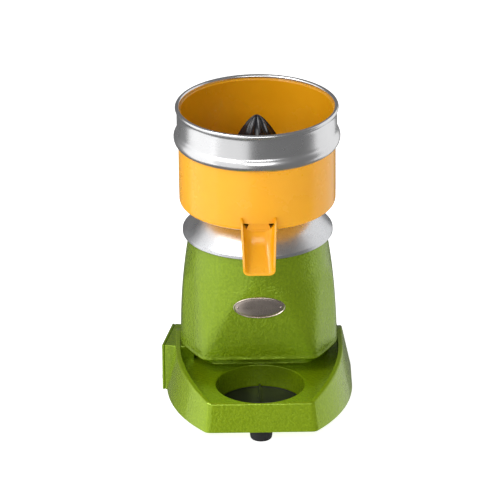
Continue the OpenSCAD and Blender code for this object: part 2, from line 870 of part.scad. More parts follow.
// The window that lets the switch body through the side of the base, wider where the bezel stands
module switch_passage() {
    switch_block(-pivot_in - body_depth - 12, 3, body_half_w + 1, body_half_h + 1);
    switch_block(0, 6, bezel_half_w + 0.5, bezel_half_h + 0.5);
}

module switch_box() {
    box_wall = 3;
    face_x = -switch_cover_t - gasket_t;
    color(green) difference() {
        at_switch() switch_slab(face_x - 40, face_x, 0);
        base_form(0, 0, switch_box_z - 1, splash_z + 1);
        difference() {
            at_switch() switch_slab(face_x - 40, face_x + 1, box_wall);
            base_form(-box_wall, 0, switch_box_z - 1, splash_z + 1);
            at_switch() at_cover_corners() translate([0, 0, -60]) cylinder(r = 4.5, h = 60);
        }
        switch_passage();
        switch_screw_holes();
    }
}

module switch_gasket() {
    color(black) difference() {
        at_switch() switch_slab(-switch_cover_t - gasket_t, -switch_cover_t, 0.8);
        base_form(0, 0, switch_box_z - 1, splash_z + 1);
        switch_passage();
        switch_screw_holes();
    }
}

module switch_cover() {
    color(green) difference() {
        at_switch() switch_slab(-switch_cover_t, 0, 0);
        base_form(0, 0, switch_box_z - 1, splash_z + 1);
        switch_block(-2 * switch_cover_t, 1, body_half_w + thread_gap, body_half_h + thread_gap);
        switch_screw_holes();
        at_switch() at_cover_corners() translate([0, 0, -switch_sink])
            cylinder(r1 = switch_screw_r + thread_gap, r2 = switch_screw_head_r + 0.2, h = switch_sink + eps);
    }
}

module switch_cover_screws() {
    color(steel) at_switch() at_cover_corners() {
        translate([0, 0, -switch_screw_l]) cylinder(r = switch_screw_r, h = switch_screw_l - 1);
        translate([0, 0, -switch_sink]) cylinder(r1 = switch_screw_r, r2 = switch_screw_head_r, h = switch_sink - 0.1);
    }
}

module rocker_barrel(r, half_w) {
    rotate([90, 0, 0]) cylinder(r = r, h = 2 * half_w, center = true);
}

module switch_body() {
    color(black) at_rocker() difference() {
        union() {
            translate([-body_depth, -body_half_w, -body_half_h])
                cube([body_depth + pivot_in + bezel_t, 2 * body_half_w, 2 * body_half_h]);
            translate([pivot_in, -bezel_half_w, -bezel_half_h]) cube([bezel_t, 2 * bezel_half_w, 2 * bezel_half_h]);
        }
        rocker_barrel(rocker_r + rocker_gap, rocker_w / 2 + rocker_gap);
        translate([0, -rocker_w / 2 - rocker_gap, -rocker_r - rocker_gap])
            cube([10, rocker_w + 2 * rocker_gap, 2 * (rocker_r + rocker_gap)]);
        rocker_barrel(pivot_r + running_gap, rocker_w / 2 + rocker_gap + body_wall + 1);
    }
}

module rocker_half_space() {
    translate([-wide, -wide / 2, -wide / 2]) cube([wide + rocker_rise, wide, wide]);
}

// Two flats that meet over the pivot, turned so that the lower one stands out
module switch_rocker() {
    color([0.8, 0.8, 0.8]) at_rocker() {
        intersection() {
            rocker_barrel(rocker_r, rocker_w / 2);
            union() {
                rocker_half_space();
                intersection() {
                    rotate([0, -rocker_swing, 0]) rocker_half_space();
                    translate([-wide / 2, -wide / 2, rocker_rise * tan(rocker_swing / 2) - wide])
                        cube([wide, wide, wide]);
                }
            }
        }
        rocker_barrel(pivot_r, rocker_w / 2 + rocker_gap + body_wall - 0.3);
    }
}

// ---- cord gland ----

module along_back(y0, y1, r1, r2) {
    translate([0, y0, gland_z]) rotate([-90, 0, 0]) cylinder(r1 = r1, r2 = r2, h = y1 - y0);
}

module cord_gland() {
    nose_y = gland_pad_y + gland_flange_t;
    color(black) difference() {
        union() {
            along_back(gland_pad_y - gland_in_l, gland_pad_y + eps, gland_r, gland_r);
            along_back(gland_pad_y, nose_y, gland_flange_r, gland_flange_r);
            along_back(nose_y - eps, nose_y + gland_nose_l, gland_r, cord_r + 1.8);
        }
        along_back(gland_pad_y - gland_in_l - 1, nose_y + gland_nose_l + 1, cord_r, cord_r);
    }
}

module gland_nut() {
    nut_y = gland_wall_y - gland_nut_t;
    color(black) difference() {
        along_back(nut_y, nut_y + gland_nut_t, gland_flange_r, gland_flange_r, $fn = 6);
        along_back(nut_y - 1, nut_y + gland_nut_t + 1, gland_r + thread_gap, gland_r + thread_gap);
    }
}

// ---- bowl, ring, strainer and reamer ----

// A round cup's half outline with a rounded foot
module cup_outline(r, z0, z1, edge_r) {
    translate([0, z0 + edge_r]) square([r, z1 - z0 - edge_r]);
    translate([0, z0]) square([r - edge_r, edge_r + eps]);
    intersection() {
        translate([r - edge_r, z0 + edge_r]) circle(edge_r);
        translate([r - edge_r - eps, z0]) square([edge_r + 1, edge_r + eps]);
    }
}

// A prism of the spout's side profile, in front of the bowl
module spout_prism(points, half_w) {
    rotate([90, 0, -90]) linear_extrude(2 * half_w, center = true)
        polygon([for (p = points) [bowl_r + p.x, bowl_z + p.y]]);
}

module spout_taper(shrink) {
    top = [spout_w / 2 - shrink, bowl_z + 15];
    low = [spout_lip_w / 2 - shrink, bowl_z - spout_drop - 1];
    rotate([90, 0, 0]) linear_extrude(wide) polygon([top, low, [-low.x, low.y], [-top.x, top.y]]);
}

module bowl() {
    chute_top = [[-bowl_t - 6, 30], [spout_reach + 20, 30], [spout_reach + 20, 10 - spout_drop]];
    chute_floor = [[spout_reach, spout_t - spout_drop], [chute_bend.x, chute_bend.y], [-bowl_t - 6, bowl_t]];
    color(orange) difference() {
        union() {
            rotate_extrude($fn = 96) cup_outline(bowl_r, bowl_z, bowl_top_z, bowl_edge_r);
            intersection() {
                spout_prism(concat(spout_top, spout_under), spout_w);
                spout_taper(0);
            }
        }
        difference() {
            rotate_extrude($fn = 96) cup_outline(bowl_in_r, bowl_z + bowl_t, bowl_top_z + 1, bowl_edge_r - 2);
            disc(sleeve_r + sleeve_t, bowl_z, bowl_z + bowl_t + sleeve_h);
            around(2, bowl_pin_ring) disc(bowl_pin_r + 2.5, bowl_z, bowl_z + bowl_pin_up + 3);
            ring(bowl_r - eps, bowl_in_r - ledge_w, ledge_z - ledge_t, ledge_z);
        }
        disc(sleeve_r, bowl_z - 1, bowl_z + bowl_t + sleeve_h + 1);
        around(2, bowl_pin_ring) disc(bowl_pin_r + bowl_pin_gap, bowl_z - 1, bowl_z + bowl_pin_up + 0.5);
        intersection() {
            spout_prism(concat(chute_top, chute_floor), spout_w);
            spout_taper(spout_t);
            difference() {
                translate([-wide / 2, -wide, 0]) cube([wide, wide - bowl_in_r + 8, wide * 2]);
                disc(bowl_r, bowl_z + bowl_t + outlet_h, bowl_top_z + 1);
            }
        }
    }
}

module rim_ring() {
    inner = bowl_r + ring_gap;
    straight_r = inner + ring_t;
    ring_z = rim_z - ring_h;
    bead_r = bead_h / 2;
    roll_r = 1.9;
    color(steel) rotate_extrude($fn = 96) {
        translate([inner, ring_z + 1]) square([ring_t, ring_h - 2 * roll_r]);
        intersection() {
            translate([inner + bead_w - bead_r, ring_z + bead_r]) circle(bead_r);
            translate([inner, ring_z]) square([bead_w + 1, bead_h]);
        }
        translate([straight_r - roll_r + 1.5, rim_z - roll_r]) circle(roll_r);
        translate([inner - 0.4, rim_z - 2 * roll_r]) square([ring_t, 2 * roll_r - 1]);
    }
}

module strainer() {
    slot_l = (strainer_r - slot_start_r) / slot_rings - slot_web;
    color([0.8, 0.81, 0.82]) difference() {
        union() {
            ring(strainer_r, strainer_hole_r, ledge_z, ledge_z + strainer_t);
            ring(strainer_r, strainer_r - strainer_t, ledge_z, ledge_z + strainer_rim_h);
        }
        for (i = [0 : slot_rings - 1], k = [0 : slot_count - 1]) rotate([0, 0, (k + i / 2) * 360 / slot_count])
            translate([slot_start_r + i * (slot_l + slot_web), -slot_w / 2, ledge_z - 1])
                cube([slot_l, slot_w, strainer_t + 2]);
    }
}

// Half outline of the reamer's ribbed cone, drawn in by inset
function reamer_curve(t) = reamer_r * pow(1 - pow(t, 1.95), 0.72);
function reamer_outline(inset) = concat([[0, cone_z]],
    [for (t = [0, 0.2, 0.4, 0.6, 0.75, 0.88, 0.96]) [reamer_curve(t) - inset, cone_z + t * (cone_h - inset)]],
    [[0, cone_z + cone_h - inset]]);

module reamer() {
    color(black) difference() {
        union() {
            rotate_extrude() polygon(reamer_outline(flute_d));
            for (i = [0 : rib_count - 1]) rotate([90, 0, i * 360 / rib_count])
                linear_extrude(rib_t, center = true) polygon(reamer_outline(0));
            disc(reamer_r, reamer_z, cone_z + eps);
        }
        disc(shaft_r + running_gap, reamer_z - 1, bore_top_z);
        disc(reamer_cavity_r, reamer_z - 1, reamer_z + reamer_skirt_h - 1);
        translate([-pin_half - pin_gap, -pin_r - pin_gap, reamer_z - 1])
            cube([2 * (pin_half + pin_gap), 2 * (pin_r + pin_gap), pin_z + pin_r + pin_gap - reamer_z + 1]);
    }
}

base_casting();
bottom_cover();
bottom_cover_screws();
front_foot();
rear_left_foot();
rear_right_foot();
foot_screws();
motor_housing();
housing_bolts();
badge();
badge_rivets();
top_plate();
plate_screws();
bowl_locating_pins();
shaft_seal();
stator_core();
stator_windings();
upper_end_shield();
lower_end_shield();
motor_tie_bolts();
motor_mount_bolts();
upper_bearing();
lower_bearing();
motor_shaft();
rotor_core();
cooling_fan();
drive_pin();
run_capacitor();
capacitor_clip();
terminal_block();
earth_screw();
switch_box();
switch_gasket();
switch_cover();
switch_cover_screws();
switch_body();
switch_rocker();
cord_gland();
gland_nut();
bowl();
rim_ring();
strainer();
reamer();
drip_cup();
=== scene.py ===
import json
from math import asin, atan2, cos, exp, hypot, log, pi, radians, sin, sqrt, tan, tau
import bpy
import bmesh
from mathutils import Matrix, Vector


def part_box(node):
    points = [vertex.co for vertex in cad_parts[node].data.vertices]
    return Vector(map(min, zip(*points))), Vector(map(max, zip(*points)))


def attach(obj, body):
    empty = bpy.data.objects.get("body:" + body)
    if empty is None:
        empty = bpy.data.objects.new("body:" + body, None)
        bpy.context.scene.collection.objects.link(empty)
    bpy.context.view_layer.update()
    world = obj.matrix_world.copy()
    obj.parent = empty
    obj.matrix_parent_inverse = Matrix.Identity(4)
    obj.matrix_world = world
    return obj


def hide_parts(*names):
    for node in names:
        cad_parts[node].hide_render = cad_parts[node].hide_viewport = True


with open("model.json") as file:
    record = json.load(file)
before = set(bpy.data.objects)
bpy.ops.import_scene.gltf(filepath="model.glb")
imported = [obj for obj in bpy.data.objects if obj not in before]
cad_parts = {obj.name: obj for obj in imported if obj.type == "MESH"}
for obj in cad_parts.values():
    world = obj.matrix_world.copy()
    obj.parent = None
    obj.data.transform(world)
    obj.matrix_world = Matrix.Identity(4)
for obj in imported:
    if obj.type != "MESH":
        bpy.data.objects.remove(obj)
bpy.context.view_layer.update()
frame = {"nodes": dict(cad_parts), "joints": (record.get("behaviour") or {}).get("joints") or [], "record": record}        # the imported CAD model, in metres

print("frame loaded:", len(frame["nodes"]), "nodes")


# Camera, lights and floor

cameraFacts = {
    "aim": (0.0, 0.0, 0.170),     # a point on the spindle
    "distance": 6.0,
    "pitch": 24.04,               # degrees down
    "yaw": 0.73,
    "roll": -0.48,
    "lens": 382.6,
    "shift": (-0.0157, -0.0133),
    "farClip": 100,
}


def clearSelection():
    if bpy.context.object and bpy.context.object.mode != "OBJECT":
        bpy.ops.object.mode_set(mode="OBJECT")
    bpy.ops.object.select_all(action="DESELECT")


def placeCamera():
    pitch, yaw, roll = (radians(cameraFacts[k]) for k in ("pitch", "yaw", "roll"))
    forward = Vector((sin(yaw) * cos(pitch), cos(yaw) * cos(pitch), -sin(pitch)))
    right = Vector((cos(yaw), -sin(yaw), 0))
    up = right.cross(forward)
    tiltedRight = right * cos(roll) + up * sin(roll)
    tiltedUp = up * cos(roll) - right * sin(roll)
    spot = Vector(cameraFacts["aim"]) - forward * cameraFacts["distance"]
    clearSelection()
    bpy.ops.object.camera_add()
    camera = bpy.context.object
    turn = Matrix((tiltedRight, tiltedUp, -forward)).transposed().to_4x4()
    camera.matrix_world = Matrix.Translation(spot) @ turn
    camera.data.lens = cameraFacts["lens"]
    camera.data.shift_x, camera.data.shift_y = cameraFacts["shift"]
    camera.data.clip_end = cameraFacts["farClip"]
    bpy.context.scene.camera = camera


placeCamera()

lightFacts = {
    "worldColor": (1.0, 1.0, 1.0),
    "worldStrength": 0.16,
    # name: azimuth from the front (left is negative), width, height, middle height, distance, watts
    "upright": {
        "frontLeft": (-38, 1.60, 3.0, 0.35, 1.6, 10),
        "sideLeft": (-88, 1.60, 3.0, 0.35, 1.6, 14),
        "sideRight": (118, 1.90, 3.0, 0.35, 1.6, 12),
    },
    # name: place, width, height, watts
    "above": {
        "overhead": ((-1.25, -0.90, 1.95), 1.3, 1.2, 24),
        "front": ((0.15, -1.70, 1.10), 1.0, 0.7, 7),
    },
    "aboveAim": (0, 0, 0.15),
}
floorFacts = {"size": 14.0, "color": (0.93, 0.93, 0.93), "roughness": 0.9, "glow": 0.85}


def addPanel(name, spot, aim, width, height, watts):
    clearSelection()
    bpy.ops.object.light_add(type="AREA", location=spot)
    lamp = bpy.context.object
    lamp.name = name
    lamp.data.shape = "RECTANGLE"
    lamp.data.size, lamp.data.size_y = width, height
    lamp.data.energy = watts
    lamp.rotation_euler = (Vector(aim) - Vector(spot)).to_track_quat("-Z", "Y").to_euler()
    lamp.visible_camera = False


def placeLights():
    world = bpy.data.worlds.new("studio")
    bpy.context.scene.world = world
    world.use_nodes = True
    backdrop = world.node_tree.nodes["Background"]
    backdrop.inputs["Color"].default_value = (*lightFacts["worldColor"], 1)
    backdrop.inputs["Strength"].default_value = lightFacts["worldStrength"]
    for name, (azimuth, width, height, middle, distance, watts) in lightFacts["upright"].items():
        angle = radians(azimuth)
        spot = (sin(angle) * distance, -cos(angle) * distance, middle)
        addPanel(name, spot, (0, 0, middle), width, height, watts)
    for name, (spot, width, height, watts) in lightFacts["above"].items():
        addPanel(name, spot, lightFacts["aboveAim"], width, height, watts)


placeLights()


def layFloor():
    clearSelection()
    bpy.ops.mesh.primitive_plane_add(size=floorFacts["size"], location=(0, 0, 0))
    floor = bpy.context.object
    floor.name = "floor"
    paper = bpy.data.materials.new("floorPaper")
    paper.use_nodes = True
    shader = paper.node_tree.nodes["Principled BSDF"]
    shader.inputs["Base Color"].default_value = (*floorFacts["color"], 1)
    shader.inputs["Roughness"].default_value = floorFacts["roughness"]
    shader.inputs["Specular IOR Level"].default_value = 0.0
    shader.inputs["Emission Color"].default_value = (1, 1, 1, 1)
    shader.inputs["Emission Strength"].default_value = floorFacts["glow"]
    floor.data.materials.append(paper)
    # the upright panels pass through the floor, so the paint mirrors them and not the paper
    floor.visible_glossy = False


layFloor()
bpy.context.scene.view_settings.view_transform = "Standard"
print("stage set")


# Ways to make and edit a mesh

weldGap = 0.00002


def nameIt(name):
    piece = bpy.context.object
    piece.name = name
    piece.data.name = name
    return piece


def makeActive(piece):
    clearSelection()
    piece.select_set(True)
    bpy.context.view_layer.objects.active = piece


def editPiece(piece, mode):
    makeActive(piece)
    bpy.ops.object.mode_set(mode="EDIT")
    bpy.ops.mesh.select_mode(type=mode)
    bpy.ops.mesh.select_all(action="DESELECT")
    return bmesh.from_edit_mesh(piece.data)


def leaveEdit():
    bpy.ops.object.mode_set(mode="OBJECT")


def pickEdges(piece, test):
    for edge in editPiece(piece, "EDGE").edges:
        if test(edge.verts[0].co, edge.verts[1].co, edge):
            edge.select_set(True)
    bmesh.update_edit_mesh(piece.data)


def bevelPicked(offset, segments):
    bpy.ops.mesh.bevel(offset=offset, segments=segments, affect="EDGES")
    leaveEdit()


def weld(piece):
    editPiece(piece, "VERT")
    bpy.ops.mesh.select_all(action="SELECT")
    bpy.ops.mesh.remove_doubles(threshold=weldGap)
    bpy.ops.mesh.normals_make_consistent(inside=False)
    leaveEdit()


def settle(piece):
    makeActive(piece)
    bpy.ops.object.transform_apply(location=True, rotation=True, scale=True)


def useModifier(piece, kind, **values):
    makeActive(piece)
    bpy.ops.object.modifier_add(type=kind)
    modifier = piece.modifiers[-1]
    for key, value in values.items():
        setattr(modifier, key, value)
    bpy.ops.object.modifier_apply(modifier=modifier.name)


def joinPieces(first, *others):
    makeActive(first)
    for piece in others:
        piece.select_set(True)
    bpy.ops.object.join()
    return first


def cutWith(piece, cutter, how="DIFFERENCE"):
    useModifier(piece, "BOOLEAN", operation=how, object=cutter, solver="EXACT")
    bpy.data.objects.remove(cutter)


def smoothOff(piece, angle=35):
    makeActive(piece)
    bpy.ops.object.shade_smooth_by_angle(angle=radians(angle))
    useModifier(piece, "WEIGHTED_NORMAL", keep_sharp=True, weight=50)
    return piece


def addCube(name, low, high):
    clearSelection()
    middle = [(a + b) / 2 for a, b in zip(low, high)]
    bpy.ops.mesh.primitive_cube_add(size=1, location=middle, scale=[b - a for a, b in zip(low, high)])
    piece = nameIt(name)
    settle(piece)
    return piece


def softBox(name, low, high, edge, segments=3):
    box = addCube(name, low, high)
    editPiece(box, "EDGE")
    bpy.ops.mesh.select_all(action="SELECT")
    bevelPicked(edge, segments)
    return box


def middleOf(low, high):
    return ((low.x + high.x) / 2, (low.y + high.y) / 2)


# Evenly spaced angles, both ends included
def angles(first, last, count):
    return [first + (last - first) * k / count for k in range(count + 1)]


# A path with its corners rounded off; each corner is (across, up, radius)
def rounded(corners, arc, most=0.49):
    path = []
    count = len(corners)
    for i, (x, y, radius) in enumerate(corners):
        here = Vector((x, y))
        if radius <= 0:
            path.append((x, y))
            continue
        before = Vector(corners[i - 1][:2]) - here
        after = Vector(corners[(i + 1) % count][:2]) - here
        half = before.angle(after) / 2
        reach = min(radius / tan(half), before.length * most, after.length * most)
        size = reach * tan(half)
        start, end = before.normalized() * reach, after.normalized() * reach
        middle = (start + end).normalized() * (size / sin(half))
        for k in range(arc + 1):
            spoke = (start - middle).slerp(end - middle, k / arc).normalized() * size
            path.append(tuple(here + middle + spoke))
    return path


def startRing(name, count):
    clearSelection()
    bpy.ops.mesh.primitive_circle_add(vertices=count, radius=0.01, fill_type="NOTHING")
    piece = nameIt(name)
    mesh = editPiece(piece, "VERT")
    mesh.verts.ensure_lookup_table()
    return piece, mesh


# A turned piece: the outline's (radius, height) points are placed on a ring of vertices, which is spun
def turnPiece(name, outline, centre=(0, 0), steps=128, closed=True):
    piece, mesh = startRing(name, len(outline))
    for vert, (radius, height) in zip(mesh.verts, outline):
        vert.co = (centre[0] + radius, centre[1], height)
    if not closed:
        mesh.edges.remove(mesh.edges.get((mesh.verts[0], mesh.verts[-1])))
    bmesh.update_edit_mesh(piece.data)
    bpy.ops.mesh.select_all(action="SELECT")
    bpy.ops.mesh.spin(steps=steps, angle=tau, center=(centre[0], centre[1], 0), axis=(0, 0, 1))
    leaveEdit()
    weld(piece)
    return piece


# A lofted piece: one ring of vertices, extruded from ring to ring and laid on each ring's points
def loftPiece(name, rings, capStart=True, capEnd=True):
    piece, mesh = startRing(name, len(rings[0]))
    for vert, spot in zip(mesh.verts, rings[0]):
        vert.co = spot
    bmesh.update_edit_mesh(piece.data)
    order = {i: i for i in range(len(rings[0]))}
    if capStart:
        bpy.ops.mesh.select_all(action="SELECT")
        bpy.ops.mesh.edge_face_add()
    bpy.ops.mesh.select_mode(type="EDGE")
    for ring in rings[1:]:
        mesh = bmesh.from_edit_mesh(piece.data)
        mesh.verts.ensure_lookup_table()
        mesh.edges.ensure_lookup_table()
        bpy.ops.mesh.select_all(action="DESELECT")
        for edge in mesh.edges:
            if edge.verts[0].index in order and edge.verts[1].index in order:
                edge.select_set(True)
        bmesh.update_edit_mesh(piece.data)
        bpy.ops.mesh.extrude_edges_move()
        mesh = bmesh.from_edit_mesh(piece.data)
        mesh.verts.index_update()
        following = {}
        for vert in mesh.verts:
            if vert.select:
                ends = [e.other_vert(vert) for e in vert.link_edges]
                old = [end for end in ends if not end.select]
                following[vert.index] = order[old[0].index]
                vert.co = ring[order[old[0].index]]
        bmesh.update_edit_mesh(piece.data)
        order = following
    if capEnd:
        bpy.ops.mesh.edge_face_add()
    leaveEdit()
    weld(piece)
    return piece


# The piece takes its finish and its body, and stands for its CAD nodes
def handOver(piece, finishName, slotName, body, *nodes):
    piece.data.materials.clear()
    piece.data.materials.append(finishes[finishName])
    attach(piece, body)
    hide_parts(*nodes)
    print("made", piece.name, len(piece.data.polygons), "faces")


# Finishes

class Tree:
    # A node tree with short ways to add to it; new nodes are laid out in columns
    def __init__(self, tree):
        self.tree = tree
        self.count = 0

    def link(self, source, target):
        self.tree.links.new(source, target)

    def fill(self, socket, value):
        if isinstance(value, (int, float)):
            socket.default_value = value
        elif isinstance(value, tuple):
            socket.default_value = (*value, 1)
        else:
            self.link(value, socket)

    def node(self, kind, **values):
        node = self.tree.nodes.new(kind)
        node.location = (-1000 + 190 * (self.count // 3), 350 - 270 * (self.count % 3))
        self.count += 1
        for key, value in values.items():
            setattr(node, key, value)
        return node

    def leave(self, **values):
        for label, socket in values.items():
            self.link(socket, self.tree.nodes["Group Output"].inputs[label])

    def noise(self, vector, scale, detail=3, roughness=0.5):
        node = self.node("ShaderNodeTexNoise")
        self.link(vector, node.inputs["Vector"])
        for label, value in (("Scale", scale), ("Detail", detail), ("Roughness", roughness)):
            self.fill(node.inputs[label], value)
        return node.outputs["Fac"]

    def calc(self, how, a, b=None):
        node = self.node("ShaderNodeMath", operation=how)
        self.fill(node.inputs[0], a)
        if b is not None:
            self.fill(node.inputs[1], b)
        return node.outputs[0]

    def span(self, value, low, high, toLow=0.0, toHigh=1.0, smooth=True):
        node = self.node("ShaderNodeMapRange")
        node.interpolation_type = "SMOOTHSTEP" if smooth else "LINEAR"
        self.link(value, node.inputs["Value"])
        for label, number in (("From Min", low), ("From Max", high), ("To Min", toLow), ("To Max", toHigh)):
            self.fill(node.inputs[label], number)
        return node.outputs["Result"]

    def mix(self, share, colorA, colorB):
        node = self.node("ShaderNodeMix", data_type="RGBA", blend_type="MIX")
        # a color mix keeps its share, first and second color at these places
        for place, value in ((0, share), (6, colorA), (7, colorB)):
            self.fill(node.inputs[place], value)
        return node.outputs[2]


# A shared effect: a group with a vector, number inputs and number outputs
def startGroup(name, inputs, outputs):
    group = bpy.data.node_groups.new(name, "ShaderNodeTree")
    group.interface.new_socket(name="Vector", in_out="INPUT", socket_type="NodeSocketVector")
    for label, value in inputs.items():
        socket = group.interface.new_socket(name=label, in_out="INPUT", socket_type="NodeSocketFloat")
        socket.default_value = value
    for label in outputs:
        group.interface.new_socket(name=label, in_out="OUTPUT", socket_type="NodeSocketFloat")
    entry = group.nodes.new("NodeGroupInput")
    leave = group.nodes.new("NodeGroupOutput")
    entry.location, leave.location = (-1200, 0), (1200, 0)
    return Tree(group), entry.outputs


# The dimpled skin of sprayed enamel: broad shallow swells with finer pits between them
def makePaintSkin():
    group, entry = startGroup("paintSkin", {"Pit Scale": 600.0, "Swell Scale": 90.0},
        ("Height", "Pits", "Swell"))
    pits = group.noise(entry["Vector"], entry["Pit Scale"], 2.5, 0.55)
    swell = group.noise(entry["Vector"], entry["Swell Scale"], 2.0)
    deep = group.span(pits, 0.32, 0.68)
    pitShare = group.calc("MULTIPLY", deep, 0.65)
    swellShare = group.calc("MULTIPLY", swell, 0.5)
    group.leave(Height=group.calc("ADD", pitShare, swellShare), Pits=deep, Swell=swell)
    return group.tree


# Wiped and handled places, which are a little duller
def makeHandling():
    group, entry = startGroup("handling", {"Scale": 14.0, "Low": 0.2, "High": 0.35}, ("Roughness", "Mask"))
    broad = group.noise(entry["Vector"], entry["Scale"], 5, 0.6)
    mask = group.span(broad, 0.35, 0.7)
    rough = group.span(mask, 0.0, 1.0, entry["Low"], entry["High"], smooth=False)
    group.leave(Roughness=rough, Mask=mask)
    return group.tree


# Lathe lines round the spindle, from the radius and the height alone, broken up along the cut
def makeLatheLines():
    group, entry = startGroup("latheLines", {"Lines": 1800.0}, ("Height", "Mask"))
    parts = group.node("ShaderNodeSeparateXYZ")
    group.link(entry["Vector"], parts.inputs[0])
    across = group.calc("MULTIPLY", parts.outputs["X"], parts.outputs["X"])
    along = group.calc("MULTIPLY", parts.outputs["Y"], parts.outputs["Y"])
    radius = group.calc("SQRT", group.calc("ADD", across, along))
    spot = group.node("ShaderNodeCombineXYZ")
    group.link(radius, spot.inputs["X"])
    group.link(parts.outputs["Z"], spot.inputs["Z"])
    lines = group.noise(spot.outputs[0], entry["Lines"], 2, 0.7)
    patches = group.noise(entry["Vector"], 55.0, 3)
    shares = group.span(patches, 0.3, 0.7, 0.5, 1.0)
    group.leave(Height=lines, Mask=group.calc("MULTIPLY", lines, shares))
    return group.tree


# The open grain of cast metal: small sharp specks over a cloudy ground
def makeCastGrain():
    group, entry = startGroup("castGrain", {"Scale": 900.0}, ("Height", "Specks", "Cloud"))
    cells = group.node("ShaderNodeTexVoronoi", feature="F1")
    group.link(entry["Vector"], cells.inputs["Vector"])
    group.link(entry["Scale"], cells.inputs["Scale"])
    specks = group.span(cells.outputs["Distance"], 0.15, 0.5, 1.0, 0.0)
    fine = group.noise(entry["Vector"], entry["Scale"], 4, 0.6)
    cloud = group.noise(entry["Vector"], 38.0, 4)
    grain = group.calc("MULTIPLY", fine, 0.7)
    holes = group.calc("MULTIPLY", specks, -0.3)
    group.leave(Height=group.calc("ADD", grain, holes), Specks=specks, Cloud=cloud)
    return group.tree


# Hairline scratches in two crossing directions
def makeHairlines():
    group, entry = startGroup("hairlines", {"Scale": 60.0}, ("Mask", "Height"))
    strokes = []
    for turn, stretch in ((0.35, 26.0), (-0.9, 18.0)):
        lay = group.node("ShaderNodeMapping")
        lay.inputs["Rotation"].default_value = (turn, turn * 0.7, turn)
        lay.inputs["Scale"].default_value = (1.0, stretch, stretch)
        group.link(entry["Vector"], lay.inputs["Vector"])
        noise = group.noise(lay.outputs[0], entry["Scale"], 1.0)
        strokes.append(group.span(noise, 0.70, 0.78))
    mask = group.calc("MAXIMUM", *strokes)
    group.leave(Mask=mask, Height=group.calc("MULTIPLY", mask, -1.0))
    return group.tree


paintSkin = makePaintSkin()
handling = makeHandling()
latheLines = makeLatheLines()
castGrain = makeCastGrain()
hairlines = makeHairlines()
finishes = {}


class Finish(Tree):
    # A material with its shader, its object coordinates and short ways to feed them
    def __init__(self, name, **values):
        finishes[name] = bpy.data.materials.new(name)
        finishes[name].use_nodes = True
        super().__init__(finishes[name].node_tree)
        self.shader = self.tree.nodes["Principled BSDF"]
        self.shader.location = (600, 0)
        self.vector = self.node("ShaderNodeTexCoord").outputs["Object"]
        for label, value in values.items():
            self.shader.inputs[label.replace("_", " ")].default_value = value

    def group(self, group, **values):
        node = self.node("ShaderNodeGroup", node_tree=group)
        self.link(self.vector, node.inputs["Vector"])
        for label, value in values.items():
            node.inputs[label.replace("_", " ")].default_value = value
        return node.outputs

    def color(self, share, colorA, colorB):
        self.link(self.mix(share, colorA, colorB), self.shader.inputs["Base Color"])

    def rough(self, socket):
        self.link(socket, self.shader.inputs["Roughness"])

    def handled(self, scale, low, high):
        touch = self.group(handling, Scale=scale, Low=low, High=high)
        self.rough(touch["Roughness"])
        return touch["Mask"]

    def bump(self, height, strength, distance):
        node = self.node("ShaderNodeBump")
        node.inputs["Strength"].default_value = strength
        node.inputs["Distance"].default_value = distance
        self.link(height, node.inputs["Height"])
        self.link(node.outputs[0], self.shader.inputs["Normal"])


# name: color, darker color in the low spots of the dimples (painted shade; handled places lean to it too), pit
# scale, swell scale, depth, lowest and highest roughness
enamels = {
    "greenPaint": ((0.255, 0.385, 0.005), (0.205, 0.325, 0.002), 380, 110, 0.00065, 0.16, 0.24),
    # painted light: a lighter copy of the housing's green enamel, which lifts the base's shaded tray and well
    "litGreenPaint": ((0.310, 0.455, 0.006), (0.255, 0.390, 0.003), 380, 90, 0.00050, 0.15, 0.23),
}
# name: color between the lines, color on them, lowest and highest roughness, lines, handling, relief, depth
turnedMetals = {
    "polishedRing": ((0.86, 0.86, 0.87), (0.93, 0.93, 0.94), 0.22, 0.30, 2600.0, 11.0, 0.10, 0.00002),
    "machinedSteel": ((0.52, 0.52, 0.54), (0.66, 0.66, 0.68), 0.24, 0.36, 1500.0, 30.0, 0.25, 0.00004),
    "laminatedSteel": ((0.20, 0.20, 0.21), (0.34, 0.34, 0.35), 0.40, 0.55, 1500.0, 30.0, 0.25, 0.00004),
    "strainerSheet": ((0.60, 0.61, 0.63), (0.74, 0.75, 0.77), 0.22, 0.34, 1500.0, 30.0, 0.25, 0.00004),
    "canAluminium": ((0.66, 0.67, 0.69), (0.78, 0.79, 0.80), 0.28, 0.40, 1500.0, 30.0, 0.25, 0.00004),
    "turnedBrass": ((0.52, 0.36, 0.12), (0.66, 0.47, 0.18), 0.25, 0.38, 1500.0, 30.0, 0.25, 0.00004),
}
# name: color, color where handled, lowest and highest roughness, grain scale, grain depth, coat
plastics = {
    "blackGloss": ((0.007, 0.007, 0.010), (0.012, 0.012, 0.016), 0.14, 0.22, 300.0, 0.00003, 0.3),
    "blackSatin": ((0.008, 0.008, 0.011), (0.014, 0.014, 0.018), 0.28, 0.42, 900.0, 0.00006, 0.0),
    "blackRubber": ((0.010, 0.010, 0.011), (0.020, 0.020, 0.021), 0.55, 0.72, 500.0, 0.00015, 0.0),
    "whiteBlock": ((0.66, 0.65, 0.58), (0.74, 0.73, 0.67), 0.38, 0.50, 600.0, 0.00006, 0.0),
    "clearRocker": ((0.42, 0.43, 0.42), (0.52, 0.53, 0.52), 0.10, 0.18, 200.0, 0.00003, 0.5),
}


def makeEnamels():
    for name, (color, dark, pits, swell, depth, low, high) in enamels.items():
        paint = Finish(name, Metallic=0.45, Specular_IOR_Level=0.7, Coat_Roughness=0.04, Coat_Weight=0.25,
            Coat_IOR=1.45)
        skin = paint.group(paintSkin, Pit_Scale=pits, Swell_Scale=swell)
        touch = paint.handled(9.0, low, high)
        # painted shade: the low spots of the dimpled skin take the darker color
        tone = paint.mix(skin["Pits"], dark, color)
        paint.color(paint.calc("MULTIPLY", touch, 0.12), tone, dark)
        paint.bump(skin["Height"], 0.6, depth)


